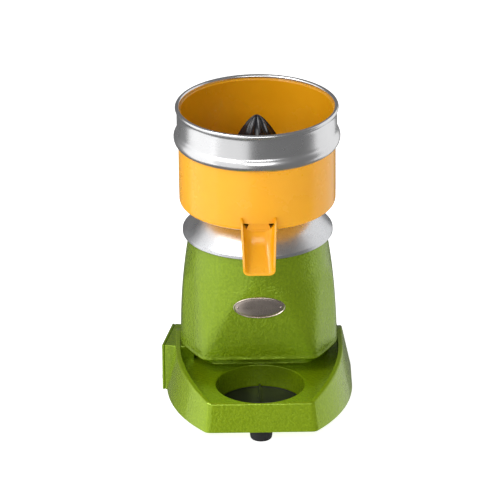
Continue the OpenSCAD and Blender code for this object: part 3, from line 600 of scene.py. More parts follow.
def makeOrange():
    bowl = Finish("orangePlastic", Specular_IOR_Level=0.45, Coat_Weight=0.25, Coat_Roughness=0.12,
        Subsurface_Weight=0.12, Subsurface_Radius=(0.006, 0.003, 0.001))
    bowl.handled(12.0, 0.22, 0.30)
    swirl = bowl.span(bowl.noise(bowl.vector, 22.0, 4), 0.3, 0.7)
    bowl.color(swirl, (0.84, 0.375, 0.006), (0.87, 0.395, 0.008))
    scratch = bowl.group(hairlines, Scale=40.0)
    bowl.bump(scratch["Height"], 0.03, 0.00001)


def makePlateMetal():
    plate = Finish("polishedCasting", Metallic=1.0, Specular_IOR_Level=0.5)
    grain = plate.group(castGrain, Scale=950.0)
    lines = plate.group(latheLines, Lines=900.0)
    plate.handled(18.0, 0.24, 0.36)
    ground = plate.mix(grain["Cloud"], (0.74, 0.75, 0.77), (0.86, 0.87, 0.89))
    specks = plate.calc("MULTIPLY", grain["Specks"], 0.5)
    plate.color(specks, ground, (0.45, 0.46, 0.48))
    cut = plate.calc("MULTIPLY", lines["Height"], 0.5)
    plate.bump(plate.calc("ADD", grain["Height"], cut), 0.35, 0.00008)


def makeTurnedMetals():
    for name, (between, upon, low, high, scale, touched, relief, depth) in turnedMetals.items():
        metal = Finish(name, Metallic=1.0)
        lines = metal.group(latheLines, Lines=scale)
        metal.handled(touched, low, high)
        metal.color(lines["Mask"], between, upon)
        metal.bump(lines["Height"], relief, depth)


def makeCastShield():
    shield = Finish("castShield", Metallic=1.0)
    grain = shield.group(castGrain, Scale=650.0)
    shield.handled(20.0, 0.42, 0.58)
    shield.color(grain["Specks"], (0.55, 0.56, 0.58), (0.40, 0.41, 0.43))
    shield.bump(grain["Height"], 0.6, 0.0002)


def makeBadgeMetal():
    badge = Finish("badgeMetal", Metallic=1.0)
    strokes = badge.node("ShaderNodeMapping")
    strokes.inputs["Scale"].default_value = (1.0, 1.0, 40.0)
    badge.link(badge.vector, strokes.inputs["Vector"])
    brushed = badge.noise(strokes.outputs[0], 60.0, 3)
    badge.handled(40.0, 0.24, 0.32)
    badge.color(brushed, (0.60, 0.51, 0.45), (0.65, 0.56, 0.50))
    badge.bump(brushed, 0.06, 0.00001)


def makeCopper():
    copper = Finish("copperWire", Metallic=1.0, Coat_Weight=0.4, Coat_Roughness=0.2)
    lines = copper.group(latheLines, Lines=700.0)
    copper.color(lines["Mask"], (0.34, 0.12, 0.045), (0.52, 0.22, 0.09))
    copper.rough(copper.span(lines["Mask"], 0.2, 0.8, 0.30, 0.45))
    copper.bump(lines["Height"], 0.9, 0.0006)


def makePlastics():
    for name, (color, handled, low, high, grainScale, depth, coat) in plastics.items():
        plastic = Finish(name, Specular_IOR_Level=0.5, Coat_Weight=coat, Coat_Roughness=0.05)
        skin = plastic.group(paintSkin, Pit_Scale=grainScale, Swell_Scale=40.0)
        touch = plastic.handled(25.0, low, high)
        plastic.color(touch, color, handled)
        plastic.bump(skin["Height"], 0.4, depth)


for makeFinish in (makeEnamels, makeOrange, makePlateMetal, makeTurnedMetals, makeCastShield, makeBadgeMetal,
        makeCopper, makePlastics):
    makeFinish()
print("finishes:", len(finishes))


# Base casting

baseShape = {
    "draft": 0.21,            # lean of the walls
    "wall": 0.005,
    "sideArc": 0.188,         # radius of the swept side walls in plan
    "arcStart": 0.049,        # where they start to sweep in, in front of the spindle
    "corner": 0.0045,         # rounding of the facet's corners in plan
    "fallStart": 0.040,       # where the splash wall starts to fall, in front of the spindle
    "backStart": 0.010,       # where it starts to fall to the back
    "backEnd": 0.032,         # where it has come down to the tray, behind the spindle
    "trayDrop": 0.016,        # from the foot of the housing down to the tray
    "outerEdge": 0.0024,
    "innerEdge": 0.0020,
    "footFillet": 0.0030,
    "ceiling": 0.043,
    "ceilingRound": 0.003,
    "ceilingReach": 0.011,
    "outerFoot": ((0.0012, 0), (0.0004, 0.0003), (0.0002, 0.0012)),    # inset and height at the ground
    "levels": (0.006, 0.016, 0.026),     # heights up the outer wall
    "wellRadius": 0.0495,
    "wellEdge": 0.0015,
    "wellWall": 0.0020,
}
planSteps = {"back": 60, "side": 12, "sweep": 26, "corner": 5, "front": 6}
insetStep = 0.010
baseLow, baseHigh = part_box("base_casting")
housingLow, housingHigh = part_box("motor_housing")
cupLow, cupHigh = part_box("drip_cup")
glassRest = next(m for m in frame["record"]["mounts"] if m["name"] == "glass_rest")
wellCentre = tuple(glassRest["pos_m"][:2])
trayZ = housingLow.z - baseShape["trayDrop"]
baseHalf = baseHigh.x
baseFront = -baseLow.y


def lean(z):
    return baseShape["draft"] * (z - baseLow.z)


def basePlan(inset):
    b, steps = baseShape, planSteps
    half, reach = baseHalf - inset, baseFront - inset
    arcX, arcRadius = b["sideArc"] - baseHalf, b["sideArc"] - inset
    lastAngle = asin((reach - b["arcStart"]) / arcRadius)
    left = [(half * cos(a), half * sin(a)) for a in angles(pi / 2, pi, steps["back"])]
    left += [(-half, -b["arcStart"] * k / steps["side"]) for k in range(1, steps["side"])]
    left += [(arcX - arcRadius * cos(a), -b["arcStart"] - arcRadius * sin(a))
        for a in angles(0, lastAngle - b["corner"] / arcRadius, steps["sweep"])]
    tip = Vector((arcX - arcRadius * cos(lastAngle), -reach))
    begin, end = Vector(left[-1]), tip + Vector((b["corner"], 0))
    for k in range(1, steps["corner"] + 1):
        t = k / steps["corner"]
        left.append(tuple(begin * (1 - t) ** 2 + tip * 2 * t * (1 - t) + end * t * t))
    left += [(end.x * (1 - k / steps["front"]), -reach) for k in range(1, steps["front"] + 1)]
    return left + [(-x, y) for x, y in reversed(left[1:-1])]


# The splash wall's height at a distance ahead of the spindle: level over the middle, with a round fall each way
def wallTop(ahead):
    b, rise = baseShape, baseHigh.z - trayZ
    if ahead > b["fallStart"]:
        run, past = baseFront - lean(trayZ) - b["fallStart"], ahead - b["fallStart"]
    elif ahead < b["backStart"]:
        run, past = b["backStart"] + b["backEnd"], b["backStart"] - ahead
    else:
        return baseHigh.z
    sweep = (run * run + rise * rise) / (2 * rise)
    return max(trayZ, baseHigh.z - sweep + sqrt(max(0.0, sweep * sweep - past * past)))


# One upright section of the wall, from the ceiling inside, down, under, up and over to the tray
def baseSection(at, top):
    b, z0 = baseShape, baseLow.z
    rise = top - trayZ
    inner, foot = min(b["innerEdge"], rise * 0.49), min(b["footFillet"], rise * 0.49)
    low, outer = b["ceiling"] - b["ceilingRound"], top - b["outerEdge"]
    inside, floorInside = lean(top) + b["wall"], lean(trayZ) + b["wall"]
    section = [at(b["wall"] + b["ceilingReach"], b["ceiling"]), at(b["wall"] + lean(low), low),
        at(b["wall"] + 0.0004, z0 + 0.0006), at(b["wall"] - 0.0002, z0)]
    section += [at(inset, z0 + up) for inset, up in b["outerFoot"]]
    section += [at(lean(z0 + up), z0 + up) for up in b["levels"]]
    section += [at(lean(outer) + b["outerEdge"] * (1 - cos(a)), outer + b["outerEdge"] * sin(a))
        for a in angles(0, pi / 2, 5)]
    section += [at(inside - inner * cos(a), top - inner + inner * sin(a)) for a in angles(pi / 2, 0, 4)]
    return section + [at(floorInside + foot * (1 - cos(a)), trayZ + foot * (1 - sin(a)))
        for a in angles(0, pi / 2, 4)]


def makeWall():
    sections = []
    for (x, y), (x1, y1) in zip(basePlan(0), basePlan(insetStep)):
        def at(inset, z):
            return (x + (x1 - x) * inset / insetStep, y + (y1 - y) * inset / insetStep, z)
        sections.append(baseSection(at, wallTop(-at(lean(trayZ), 0)[1])))
    rings = [[section[k] for section in sections] for k in range(len(sections[0]))]
    return loftPiece("baseBody", rings)


def cutWell(body):
    b, z0 = baseShape, baseLow.z
    edge, radius, outside = b["wellEdge"], b["wellRadius"], b["wellRadius"] + b["wellWall"]
    potTop, over = b["ceiling"] + 0.002, trayZ + 0.006
    pot = turnPiece("wellOutside", [(0.0, z0 + 0.0002), (outside - 0.0008, z0 + 0.0002), (outside, z0 + 0.0010),
        (outside, potTop), (0.0, potTop)], wellCentre, closed=False)
    cutWith(body, pot, "UNION")
    cutWith(body, toSide(switchRoom()))
    flare = [(radius + edge * (1 - cos(a)), trayZ - edge + edge * sin(a)) for a in angles(0, pi / 2, 6)]
    cutter = turnPiece("wellCutter", [(0.0, cupLow.z), (radius - 0.0008, cupLow.z), (radius, cupLow.z + 0.0015)]
        + flare + [(radius + edge, over), (0.0, over)], wellCentre, closed=False)
    cutWith(body, cutter)
    weld(body)


pedestalShape = {
    "radius": 0.080,
    "frontRound": 0.05,       # radians left off where the round meets the flat front
    "frontIn": 0.0035,
    "steps": 96,
    # grow and height above the tray
    "flare": ((1.042, 0.00002), (1.014, 0.0008), (1.0, 0.0032), (1.0, baseShape["trayDrop"])),
}


def makePedestal():
    p, r = pedestalShape, pedestalShape["radius"]
    front = -wellCentre[1] - baseShape["wellRadius"] - 0.002
    stop = asin(front / r)
    plan = [(r * cos(a), r * sin(a))
        for a in angles(p["frontRound"] - stop, pi + stop - p["frontRound"], p["steps"])]
    wide = r * cos(stop) - p["frontIn"]
    plan += [(-wide, -front), (0.0, -front), (wide, -front)]
    rings = [[(x * grow, y * grow, trayZ + up) for x, y in plan] for grow, up in p["flare"]]
    return loftPiece("pedestal", rings, capStart=False)


padShape = {"radius": 0.0120, "back": 0.1055, "depth": 0.0155, "edge": 0.0010, "segments": 3, "ring": 0.0012}


def makeGlandPad():
    p, near = padShape, 1e-5
    glandLow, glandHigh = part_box("cord_gland")
    glandZ = (glandLow.z + glandHigh.z) / 2
    clearSelection()
    bpy.ops.mesh.primitive_cylinder_add(vertices=64, radius=p["radius"], depth=p["depth"],
        location=(0, p["back"] - p["depth"] / 2, glandZ),
        rotation=Vector((0, 1, 0)).to_track_quat("Z", "Y").to_euler())
    pad = nameIt("glandPad")
    settle(pad)
    for face in editPiece(pad, "FACE").faces:
        face.select_set(face.normal.y > 0.9)
    bmesh.update_edit_mesh(pad.data)
    bpy.ops.mesh.inset(thickness=p["ring"], depth=0.0)
    leaveEdit()
    pickEdges(pad, lambda a, b, edge: abs(a.y - p["back"]) < near and abs(b.y - p["back"]) < near
        and abs(hypot(a.x, a.z - glandZ) - p["radius"]) < near)
    bevelPicked(p["edge"], p["segments"])
    return pad


bossShape = {"radius": 0.009, "edge": 0.0005, "over": 0.001}


def makeFootBoss(node):
    s, z0, z1 = bossShape, baseLow.z + 0.00001, baseShape["ceiling"] + bossShape["over"]
    outline = [(0.0, z0), (s["radius"] - s["edge"], z0), (s["radius"], baseLow.z + s["edge"]), (s["radius"], z1)]
    return turnPiece("footBoss", outline, middleOf(*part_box(node)), 48, closed=False)


# The switch is drawn in its own frame: outwards, towards the front and up, with its cover's face at 0
switchShape = {
    "long": 0.059,
    "tall": 0.056,
    "bottom": 0.008,
    "cover": 0.003,
    "gasket": 0.001,
    "gasketIn": 0.0028,
    "edge": 0.0012,
    "boxDepth": 0.034,
    "boxGap": 0.0002,
    "middle": 0.008,              # the rocker is this far towards the front
    "pivotIn": 0.001,
    "hole": (0.0074, 0.0129),     # half width and half height of the cover's hole
    "bezel": (0.0099, 0.0154),
    "opening": (0.0059, 0.0114),
}
throw = next(j for j in frame["joints"] if j["name"] == "switch_throw")
towardsFront = Vector(throw["axis"])
outwards = Vector((towardsFront.y, -towardsFront.x, 0))
pivot = Vector(throw["pos_m"])
switchOrigin = pivot + outwards * switchShape["pivotIn"] - towardsFront * switchShape["middle"]
switchFrame = Matrix((
    (outwards.x, towardsFront.x, 0, switchOrigin.x),
    (outwards.y, towardsFront.y, 0, switchOrigin.y),
    (0, 0, 1, 0),
    (0, 0, 0, 1)))


def toSide(piece):
    piece.matrix_world = switchFrame
    settle(piece)
    return piece


# The low and high corners of a block about the rocker
def aboutRocker(back, face, size):
    mid = switchShape["middle"]
    return (back, mid - size[0], pivot.z - size[1]), (face, mid + size[0], pivot.z + size[1])


def switchRoom():
    return addCube("switchRoom", *aboutRocker(-0.0118, 0.010, switchShape["hole"]))


def makeBase():
    body = makeWall()
    cutWell(body)
    pedestal, pad = makePedestal(), makeGlandPad()
    bosses = [makeFootBoss(node) for node in ("rear_left_foot", "rear_right_foot")]
    return smoothOff(joinPieces(body, pedestal, pad, *bosses), 40)


# the base wears the lighter copy of the green enamel: painted light on its shaded tray and well
handOver(makeBase(), "litGreenPaint", "green_enamel", "base", "base_casting")


# Motor housing

housingShape = {
    "taper": 0.011,
    "morphHeight": 0.088,
    "frontFlat": 0.0034,       # the front face lies this far inside the round
    "cornerFace": 0.0082,
    "cornerReach": 0.0182,
    "cornerTurn": 28.0,        # the slanted faces look this far forward of sideways, in degrees
    "cornerSoftness": 0.0024,
    "leastSoftness": 0.00002,
    "backBlend": 12,           # how soon the cornered sides run into the round back
    "lip": 0.0010,
    # the lip's profile: share of the lip, more inset, height
    "lipPath": ((0, -0.0120, 0), (0, -0.0016, 0), (0.4, -0.0004, 0.0003), (0.85, 0, 0.0011), (1, 0, 0.0019),
        (0.8, 0, 0.0026), (0.25, 0, 0.0040), (0, 0, 0.0058)),
    "topEdge": 0.0012,
    "topReach": 0.020,
    "rings": 30,
    "sides": 320,
}


def housingSide(z):
    return housingHigh.x - housingShape["taper"] * ((z - housingLow.z) / (housingHigh.z - housingLow.z)) ** 2


def housingRadius(angle, z):
    h, side = housingShape, housingSide(z)
    if sin(angle) >= 0:
        return side
    morph = max(0.0, 1 - (z - housingLow.z) / h["morphHeight"])
    turn, slanted = radians(h["cornerTurn"]), side + h["cornerFace"] * morph
    reaches = [side + h["cornerReach"] * morph]
    for facing, away in ((0, side), (pi, side), (-turn, slanted), (pi + turn, slanted),
            (-pi / 2, side - h["frontFlat"] * morph)):
        slant = cos(angle - facing)
        if slant > 0.2:
            reaches.append(away / slant)
    nearest, soft = min(reaches), h["cornerSoftness"] * morph + h["leastSoftness"]
    blended = nearest - soft * log(sum(exp(-(r - nearest) / soft) for r in reaches))
    return nearest + (blended - nearest) * min(1.0, -sin(angle) * h["backBlend"])


def makeHousing():
    h, z0, z1 = housingShape, housingLow.z, housingHigh.z
    steps = [(h["lip"] * share + inset, z0 + up) for share, inset, up in h["lipPath"]]
    start, edge = steps[-1][1], h["topEdge"]
    steps += [(0.0, start + (z1 - edge - start) * k / h["rings"]) for k in range(1, h["rings"] + 1)]
    steps += [(-edge * 0.3, z1 - edge * 0.3), (-edge, z1), (-h["topReach"], z1)]
    rings = []
    for out, z in steps:
        ring = []
        for angle in angles(0, tau, h["sides"])[:-1]:
            radius = housingRadius(angle, z) + out
            ring.append((radius * cos(angle), radius * sin(angle), z))
        rings.append(ring)
    return smoothOff(loftPiece("motorHousing", rings), 50)


handOver(makeHousing(), "greenPaint", "green_enamel", "base", "motor_housing")


# Badge

badgeShape = {
    "sides": 96,
    "bow": 0.0012,            # it follows the housing's curve a little
    # inset from the outline, height off the housing
    "profile": ((0.0, -0.0008), (0.0, 0.0009), (0.0003, 0.0014), (0.0008, 0.0016), (0.0012, 0.0014),
        (0.0016, 0.0009), (0.0022, 0.0009), (0.0028, 0.0012), (0.0045, 0.0014), (0.0070, 0.00155),
        (0.0095, 0.0016), (0.0115, 0.00162)),
    "rivetIn": 0.0018,
    "rivet": ((0.0, 0.0), (0.0012, 0.0), (0.0012, 0.0014), (0.0009, 0.0017), (0.0, 0.0018)),
}
badgeLow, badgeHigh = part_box("badge")
badgeMiddle = (badgeLow.z + badgeHigh.z) / 2
badgeFace = -housingRadius(-pi / 2, badgeMiddle)


def makeBadge():
    b = badgeShape
    width, height = (badgeHigh.x - badgeLow.x) / 2, (badgeHigh.z - badgeLow.z) / 2
    below, above = (housingRadius(-pi / 2, badgeMiddle + up) for up in (-height, height))
    slope = (below - above) / (2 * height)
    rings = []
    for inset, off in b["profile"]:
        ring = []
        for a in angles(0, tau, b["sides"])[:-1]:
            x, z = (width - inset) * cos(a), (height - inset) * sin(a)
            ring.append((x, badgeFace - off + b["bow"] * (x / width) ** 2 + slope * z, badgeMiddle + z))
        rings.append(ring)
    return smoothOff(loftPiece("badgePlate", rings), 45)


def makeRivets():
    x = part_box("badge_rivets")[1].x - badgeShape["rivetIn"]
    heads = []
    for side in (-1, 1):
        head = turnPiece("rivetHead", badgeShape["rivet"], steps=32, closed=False)
        head.rotation_euler = (pi / 2, 0, 0)
        head.location = (side * x, badgeFace + 0.0002, badgeMiddle)
        settle(head)
        heads.append(head)
    rivets = joinPieces(*heads)
    rivets.name = "badgeRivets"
    return smoothOff(rivets, 40)


handOver(makeBadge(), "badgeMetal", "badge_metal", "base", "badge")
handOver(makeRivets(), "badgeMetal", "bright_steel", "base", "badge_rivets")


# Top plate

plateShape = {"band": 0.0053, "shoulder": 0.062, "hub": 0.038, "bore": 0.016, "recess": 0.030, "recessDepth": 0.010,
    "coneDrop": 0.007, "wall": 0.006, "innerFoot": 0.062, "innerTop": 0.056}


def makeTopPlate():
    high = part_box("top_plate")[1]
    p, r, top, foot = plateShape, high.x, high.z, housingHigh.z
    bandTop, coneTop, recess = foot + p["band"], top - p["coneDrop"], top - p["recessDepth"]
    outline = rounded([
        (p["bore"], recess, 0), (p["recess"], recess, 0.001), (p["recess"], top, 0.0008), (p["hub"], top, 0.0012),
        (p["hub"], coneTop, 0.002), (p["shoulder"] - 0.001, coneTop, 0.008), (r - 0.0030, bandTop + 0.0022, 0.004),
        (r - 0.0012, bandTop + 0.0002, 0.0009), (r, bandTop - 0.0010, 0.0010), (r, foot, 0.0012),
        (p["innerFoot"], foot, 0), (p["innerFoot"], foot + p["wall"], 0), (p["innerTop"], coneTop - p["wall"], 0),
        (p["bore"], coneTop - p["wall"], 0)], 6)
    return smoothOff(turnPiece("topPlate", outline, steps=192), 32)


handOver(makeTopPlate(), "polishedCasting", "polished_aluminium", "base", "top_plate")


# Bowl with its spout

bowlShape = {
    "wall": 0.003,
    "footEdge": 0.0060,
    "sleeveIn": 0.0110,
    "sleeveWall": 0.003,
    "sleeveHeight": 0.026,
    "ledgeHeight": 0.016,
    "ledgeWidth": 0.0036,
    "ledgeThick": 0.003,
    "outletHalf": 0.0170,
    "outletBottom": 0.0020,     # above the bowl's underside
    "outletTop": 0.0098,
}
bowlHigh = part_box("bowl")[1]
bowlRadius, bowlTop = bowlHigh.x, bowlHigh.z
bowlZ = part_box("top_plate")[1].z


def makeBowlBody():
    b, r, z = bowlShape, bowlRadius, bowlZ
    inner, floorZ = r - b["wall"], z + b["wall"]
    ledgeX, ledgeZ = inner - b["ledgeWidth"], floorZ + b["ledgeHeight"]
    underZ = ledgeZ - b["ledgeThick"]
    sleeveOut, sleeveTop = b["sleeveIn"] + b["sleeveWall"], floorZ + b["sleeveHeight"]
    outline = rounded([
        (b["sleeveIn"], z, 0.0004), (r - 0.0003, z, b["footEdge"]), (r, z + 0.020, 0), (r, bowlTop, 0.0011),
        (inner, bowlTop, 0.0011), (inner, ledgeZ, 0.0004), (ledgeX, ledgeZ, 0.0006), (ledgeX, underZ, 0.0006),
        (inner, underZ, 0), (inner, floorZ, 0.004), (sleeveOut, floorZ, 0.002),
        (sleeveOut, sleeveTop, 0.0010), (b["sleeveIn"], sleeveTop, 0.0010)], 8)
    bowl = turnPiece("bowlBody", outline, steps=192)
    cutWith(bowl, addCube("outletCutter", (-b["outletHalf"], -r - 0.010, z + b["outletBottom"]),
        (b["outletHalf"], -r + 0.012, z + b["outletTop"])))
    return bowl


spoutShape = {
    "half": 0.0211,
    "lipHalf": 0.0181,
    "wall": 0.0026,
    "narrowFrom": 0.012,         # height from which it narrows, and over what drop
    "narrowOver": 0.0514,
    "bend": 0.0135,              # round of its bottom corners, and how much less it is at the lip
    "bendLoss": 0.0080,
    "outerBend": 0.0018,
    "rim": 0.0005,
    "rimRound": 0.0006,
    # stations: floor ahead and up, top of the walls ahead and up, from the bowl's wall and underside
    "path": (
        (-0.0056, 0.0002, -0.0022, 0.0165),
        (-0.0024, -0.0008, 0.0012, 0.0158),
        (-0.0016, -0.0036, 0.0035, 0.0134),
        (-0.0004, -0.0074, 0.0058, 0.0090),
        (0.0014, -0.0112, 0.0084, 0.0035),
        (0.0046, -0.0158, 0.0113, -0.0022),
        (0.0088, -0.0208, 0.0147, -0.0087),
        (0.0138, -0.0270, 0.0186, -0.0161),
        (0.0190, -0.0338, 0.0226, -0.0238),
        (0.0240, -0.0404, 0.0266, -0.0318),
    ),
}


# Down one side, round the bottom corner, across and up the other side
def trough(half, tall, bend, deep=0.0):
    left = [(-half, tall + (bend - deep - tall) * k / 4) for k in range(4)]
    left += [(-half + bend * (1 - cos(a)), bend - deep - bend * sin(a)) for a in angles(0, pi / 2, 10)]
    corner = left[-1][0]
    left += [(corner * (1 - k / 3), -deep) for k in range(1, 3)]
    return left + [(0.0, -deep)] + [(-x, up) for x, up in reversed(left)]


def makeSpout():
    s, wall, rim = spoutShape, spoutShape["wall"], spoutShape["rim"]
    last = len(s["path"]) - 1
    rings = []
    for k, (floorAhead, floorUp, wallAhead, wallUp) in enumerate(s["path"]):
        t = k / last
        narrow = max(0.0, (s["narrowFrom"] - floorUp) / s["narrowOver"])
        half = s["half"] + (s["lipHalf"] - s["half"]) * narrow
        floor = Vector((0, -bowlRadius - floorAhead, bowlZ + floorUp))
        up = Vector((0, -bowlRadius - wallAhead, bowlZ + wallUp)) - floor
        tall = up.length
        up.normalize()
        bend = min(s["bend"] - s["bendLoss"] * t * t, tall - 0.0012)
        inside = trough(half - wall, tall - s["rimRound"], bend)
        outside = trough(half, tall - s["rimRound"], bend + s["outerBend"], wall)
        top = [(half - rim, tall), (half - wall + rim, tall)]
        loop = outside + top + inside[::-1] + [(-x, h) for x, h in reversed(top)]
        rings.append([tuple(floor + Vector((x, 0, 0)) + up * h) for x, h in loop])
    spout = loftPiece("spoutChannel", rings)
    ahead = -bowlRadius - 0.012
    pickEdges(spout, lambda a, b, edge: a.y < ahead and b.y < ahead and len(edge.link_faces) == 2
        and max(len(face.verts) for face in edge.link_faces) > 20)
    bevelPicked(s["rimRound"], 2)
    return spout


# The tongue behind the outlet carries the channel's floor on upwards; it narrows, so juice leaves at its two
# corners first
weirShape = {
    "right": ((0.0136, -0.0004), (0.0134, 0.0031), (0.0106, 0.0099)),
    "behind": (0.0022, 0.0046),
}


def makeWeir():
    right = weirShape["right"]
    front = [(-right[0][0], right[0][1]), *right] + [(-x, up) for x, up in right[:0:-1]]
    return loftPiece("outletWeir", [[(x, behind - bowlRadius, bowlZ + up) for x, up in front]
        for behind in weirShape["behind"]])


def makeBowl():
    bowl, spout, weir = makeBowlBody(), makeSpout(), makeWeir()
    joinPieces(bowl, spout, weir)
    bowl.name = "juiceBowl"
    return smoothOff(bowl, 38)


handOver(makeBowl(), "orangePlastic", "orange_plastic", "bowl", "bowl")


# Rim ring

ringShape = {
    # out from the bowl's wall, height above the ring's foot
    "bead": ((0.00012, 0.0006), (0.0007, 0.0001), (0.0020, 0.0007), (0.0034, 0.0020), (0.0046, 0.0040),
        (0.0053, 0.0064), (0.0054, 0.0084), (0.0050, 0.0104), (0.0041, 0.0124), (0.0030, 0.0138),
        (0.0022, 0.0149), (0.0018, 0.0162), (0.0017, 0.0180)),
    # out from the bowl's wall, height below the ring's top
    "neck": ((0.0017, 0.0100), (0.0018, 0.0072), (0.0022, 0.0058)),
    "roll": 0.0024,
    "rollOut": 0.00115,
    "rollFrom": -50,
    "rollTo": 200,
    "rollSteps": 22,
    "hem": ((-0.0008, 0.0048), (0.00012, 0.0056)),
}


def makeRimRing():
    low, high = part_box("rim_ring")
    s, r, roll = ringShape, bowlRadius, ringShape["roll"]
    outline = [(r + out, low.z + up) for out, up in s["bead"]]
    outline += [(r + out, high.z - down) for out, down in s["neck"]]
    outline += [(r + s["rollOut"] + roll * cos(a), high.z - roll + roll * sin(a))
        for a in angles(radians(s["rollFrom"]), radians(s["rollTo"]), s["rollSteps"])]
    outline += [(r + out, high.z - down) for out, down in s["hem"]]
    return smoothOff(turnPiece("rimRing", outline, steps=224), 60)


handOver(makeRimRing(), "polishedRing", "polished_ring", "bowl", "rim_ring")


# Reamer

reamerShape = {
    "ribs": 10,
    "perRib": 16,
    "flute": 0.30,
    "fluteFade": 0.35,
    "fluteStart": 0.08,
    "hollowPower": 0.62,
    "ridge": 0.10,             # a small ridge down each flute
    "ridgePower": 6,
    "power": 1.95,
    "shoulder": 0.72,
    "skirt": 0.008,
    "tip": 0.0006,
    # inset and height of the skirt's foot, then of its top below the cone
    "skirtFoot": ((0.012, 0), (0.0010, 0), (0.0002, 0.0004), (0.0, 0.0014)),
    "skirtTop": ((0.0, 0.0016), (0.0004, 0.0004)),
    "steps": (0.0, 0.03, 0.08, 0.15, 0.23, 0.31, 0.39, 0.47, 0.55, 0.62, 0.69, 0.75, 0.80, 0.845, 0.88, 0.91,
        0.935, 0.955, 0.972, 0.986, 0.995),
}


def makeReamer():
    low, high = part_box("reamer")
    s, r = reamerShape, high.x
    coneZ = low.z + s["skirt"]
    count = s["ribs"] * s["perRib"]
    around = angles(0, tau, count)[:-1]
    skirt = [(r - inset, low.z + up) for inset, up in s["skirtFoot"]]
    skirt += [(r - inset, coneZ - down) for inset, down in s["skirtTop"]]
    rings = [[(radius * cos(a), radius * sin(a), z) for a in around] for radius, z in skirt]
    for t in s["steps"]:
        reach = max(s["tip"], (r - s["tip"]) * (1 - t ** s["power"]) ** s["shoulder"])
        depth = s["flute"] * min(1.0, t / s["fluteStart"]) * (1 - s["fluteFade"] * t)
        ring = []
        for k, a in enumerate(around):
            u = (k % s["perRib"]) / s["perRib"]
            hollow = abs(sin(pi * u)) ** s["hollowPower"]
            ridge = s["ridge"] * max(0.0, cos(tau * (u - 0.5))) ** s["ridgePower"]
            radius = reach * (1 - depth * (hollow - ridge))
            ring.append((radius * cos(a), radius * sin(a), coneZ + t * (high.z - coneZ)))
        rings.append(ring)
    rings.append([(0.0, 0.0, high.z)] * count)
    return smoothOff(loftPiece("reamerCone", rings, capEnd=False), 42)


handOver(makeReamer(), "blackGloss", "reamer_plastic", "reamer", "reamer")


# Drip cup

cupShape = {"wall": 0.0025, "rimDown": 0.0030, "ribHalf": 0.00125, "ribIn": 0.0012, "ribEdge": 0.0006}


def makeDripCup():
    s, r, z0, z1 = cupShape, cupHigh.x, cupLow.z, cupHigh.z
    rimZ, floorZ, inner = z1 - s["rimDown"], z0 + s["wall"], r - s["wall"]
    outline = rounded([(0.0, z0, 0), (r, z0, 0.0008), (r, rimZ, 0.0010), (inner, rimZ, 0.0010),
        (inner, floorZ, 0.0010), (0.0, floorZ, 0)], 4)
    cup = turnPiece("dripCup", outline, wellCentre)
    reach, half = r - s["ribIn"], s["ribHalf"]
    ribs = []
    for turn in (0, pi / 2):
        rib = addCube("cupRib", (-reach, -half, z0 + 0.001), (reach, half, z1))
        pickEdges(rib, lambda a, b, edge: min(a.z, b.z) > z1 - 0.001)
        bevelPicked(s["ribEdge"], 2)
        rib.rotation_euler = (0, 0, turn)
        rib.location = (*wellCentre, 0)
        settle(rib)
        ribs.append(rib)
    return smoothOff(joinPieces(cup, *ribs), 40)


handOver(makeDripCup(), "blackSatin", "black_plastic", "drip_cup", "drip_cup")


# Feet

footShape = {"screwRoom": 0.0060, "screwRoomTop": 0.0075, "bore": 0.0027, "draft": 0.0008, "draftTop": 0.006}


def makeFoot(node):
    low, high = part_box(node)
    s, r, z0, z1 = footShape, (high.x - low.x) / 2, low.z, high.z
    roomTop = z0 + s["screwRoomTop"]
    outline = rounded([(s["screwRoom"], roomTop, 0), (s["screwRoom"], z0, 0.0006), (r - s["draft"], z0, 0.0026),
        (r, z0 + s["draftTop"], 0), (r, z1, 0.0006), (s["bore"], z1, 0), (s["bore"], roomTop, 0)], 6)
    name = node.replace("_", " ").title().replace(" ", "") + "Rubber"
    return smoothOff(turnPiece(name, outline, middleOf(low, high), 64), 40)


for footNode in ("front_foot", "rear_left_foot", "rear_right_foot"):
    handOver(makeFoot(footNode), "blackRubber", "black_rubber", "base", footNode)


# Switch on the side; its measures stand before the base, which is cut for it

switchHalf = switchShape["long"] / 2
switchBottom = switchShape["bottom"]
switchTop = switchBottom + switchShape["tall"]


def makeSwitchCover():
    s = switchShape
    cover = softBox("switchCover", (-s["cover"], -switchHalf, switchBottom), (0, switchHalf, switchTop), s["edge"])
    cutWith(cover, addCube("coverHole", *aboutRocker(-0.010, 0.010, s["hole"])))
    return smoothOff(toSide(cover))


def makeSwitchBox():
    s = switchShape
    face = -s["cover"] - s["boxGap"]
    box = softBox("switchBox", (face - s["boxDepth"], -switchHalf, switchBottom), (face, switchHalf, switchTop),
        s["edge"])
    # room for the switch, so that its opening shows its own floor
    cutWith(box, switchRoom())
    return smoothOff(toSide(box))


def makeGasket():
    s, inset = switchShape, switchShape["gasketIn"]
    return smoothOff(toSide(softBox("switchGasket",
        (-s["cover"] - s["gasket"], inset - switchHalf, switchBottom + inset),
        (-s["cover"], switchHalf - inset, switchTop - inset), 0.0003, 1)))


screwShape = {
    "profile": ((0.0, -0.0060), (0.0017, -0.0060), (0.0017, -0.0014), (0.0033, 0.0), (0.0031, 0.0003),
        (0.0020, 0.0007), (0.0, 0.0009)),
    "slotLong": 0.0021,
    "slotHalf": 0.0004,
    "slotFloor": -0.0002,
    "in": 0.005,
    "lowUp": 0.015,
}


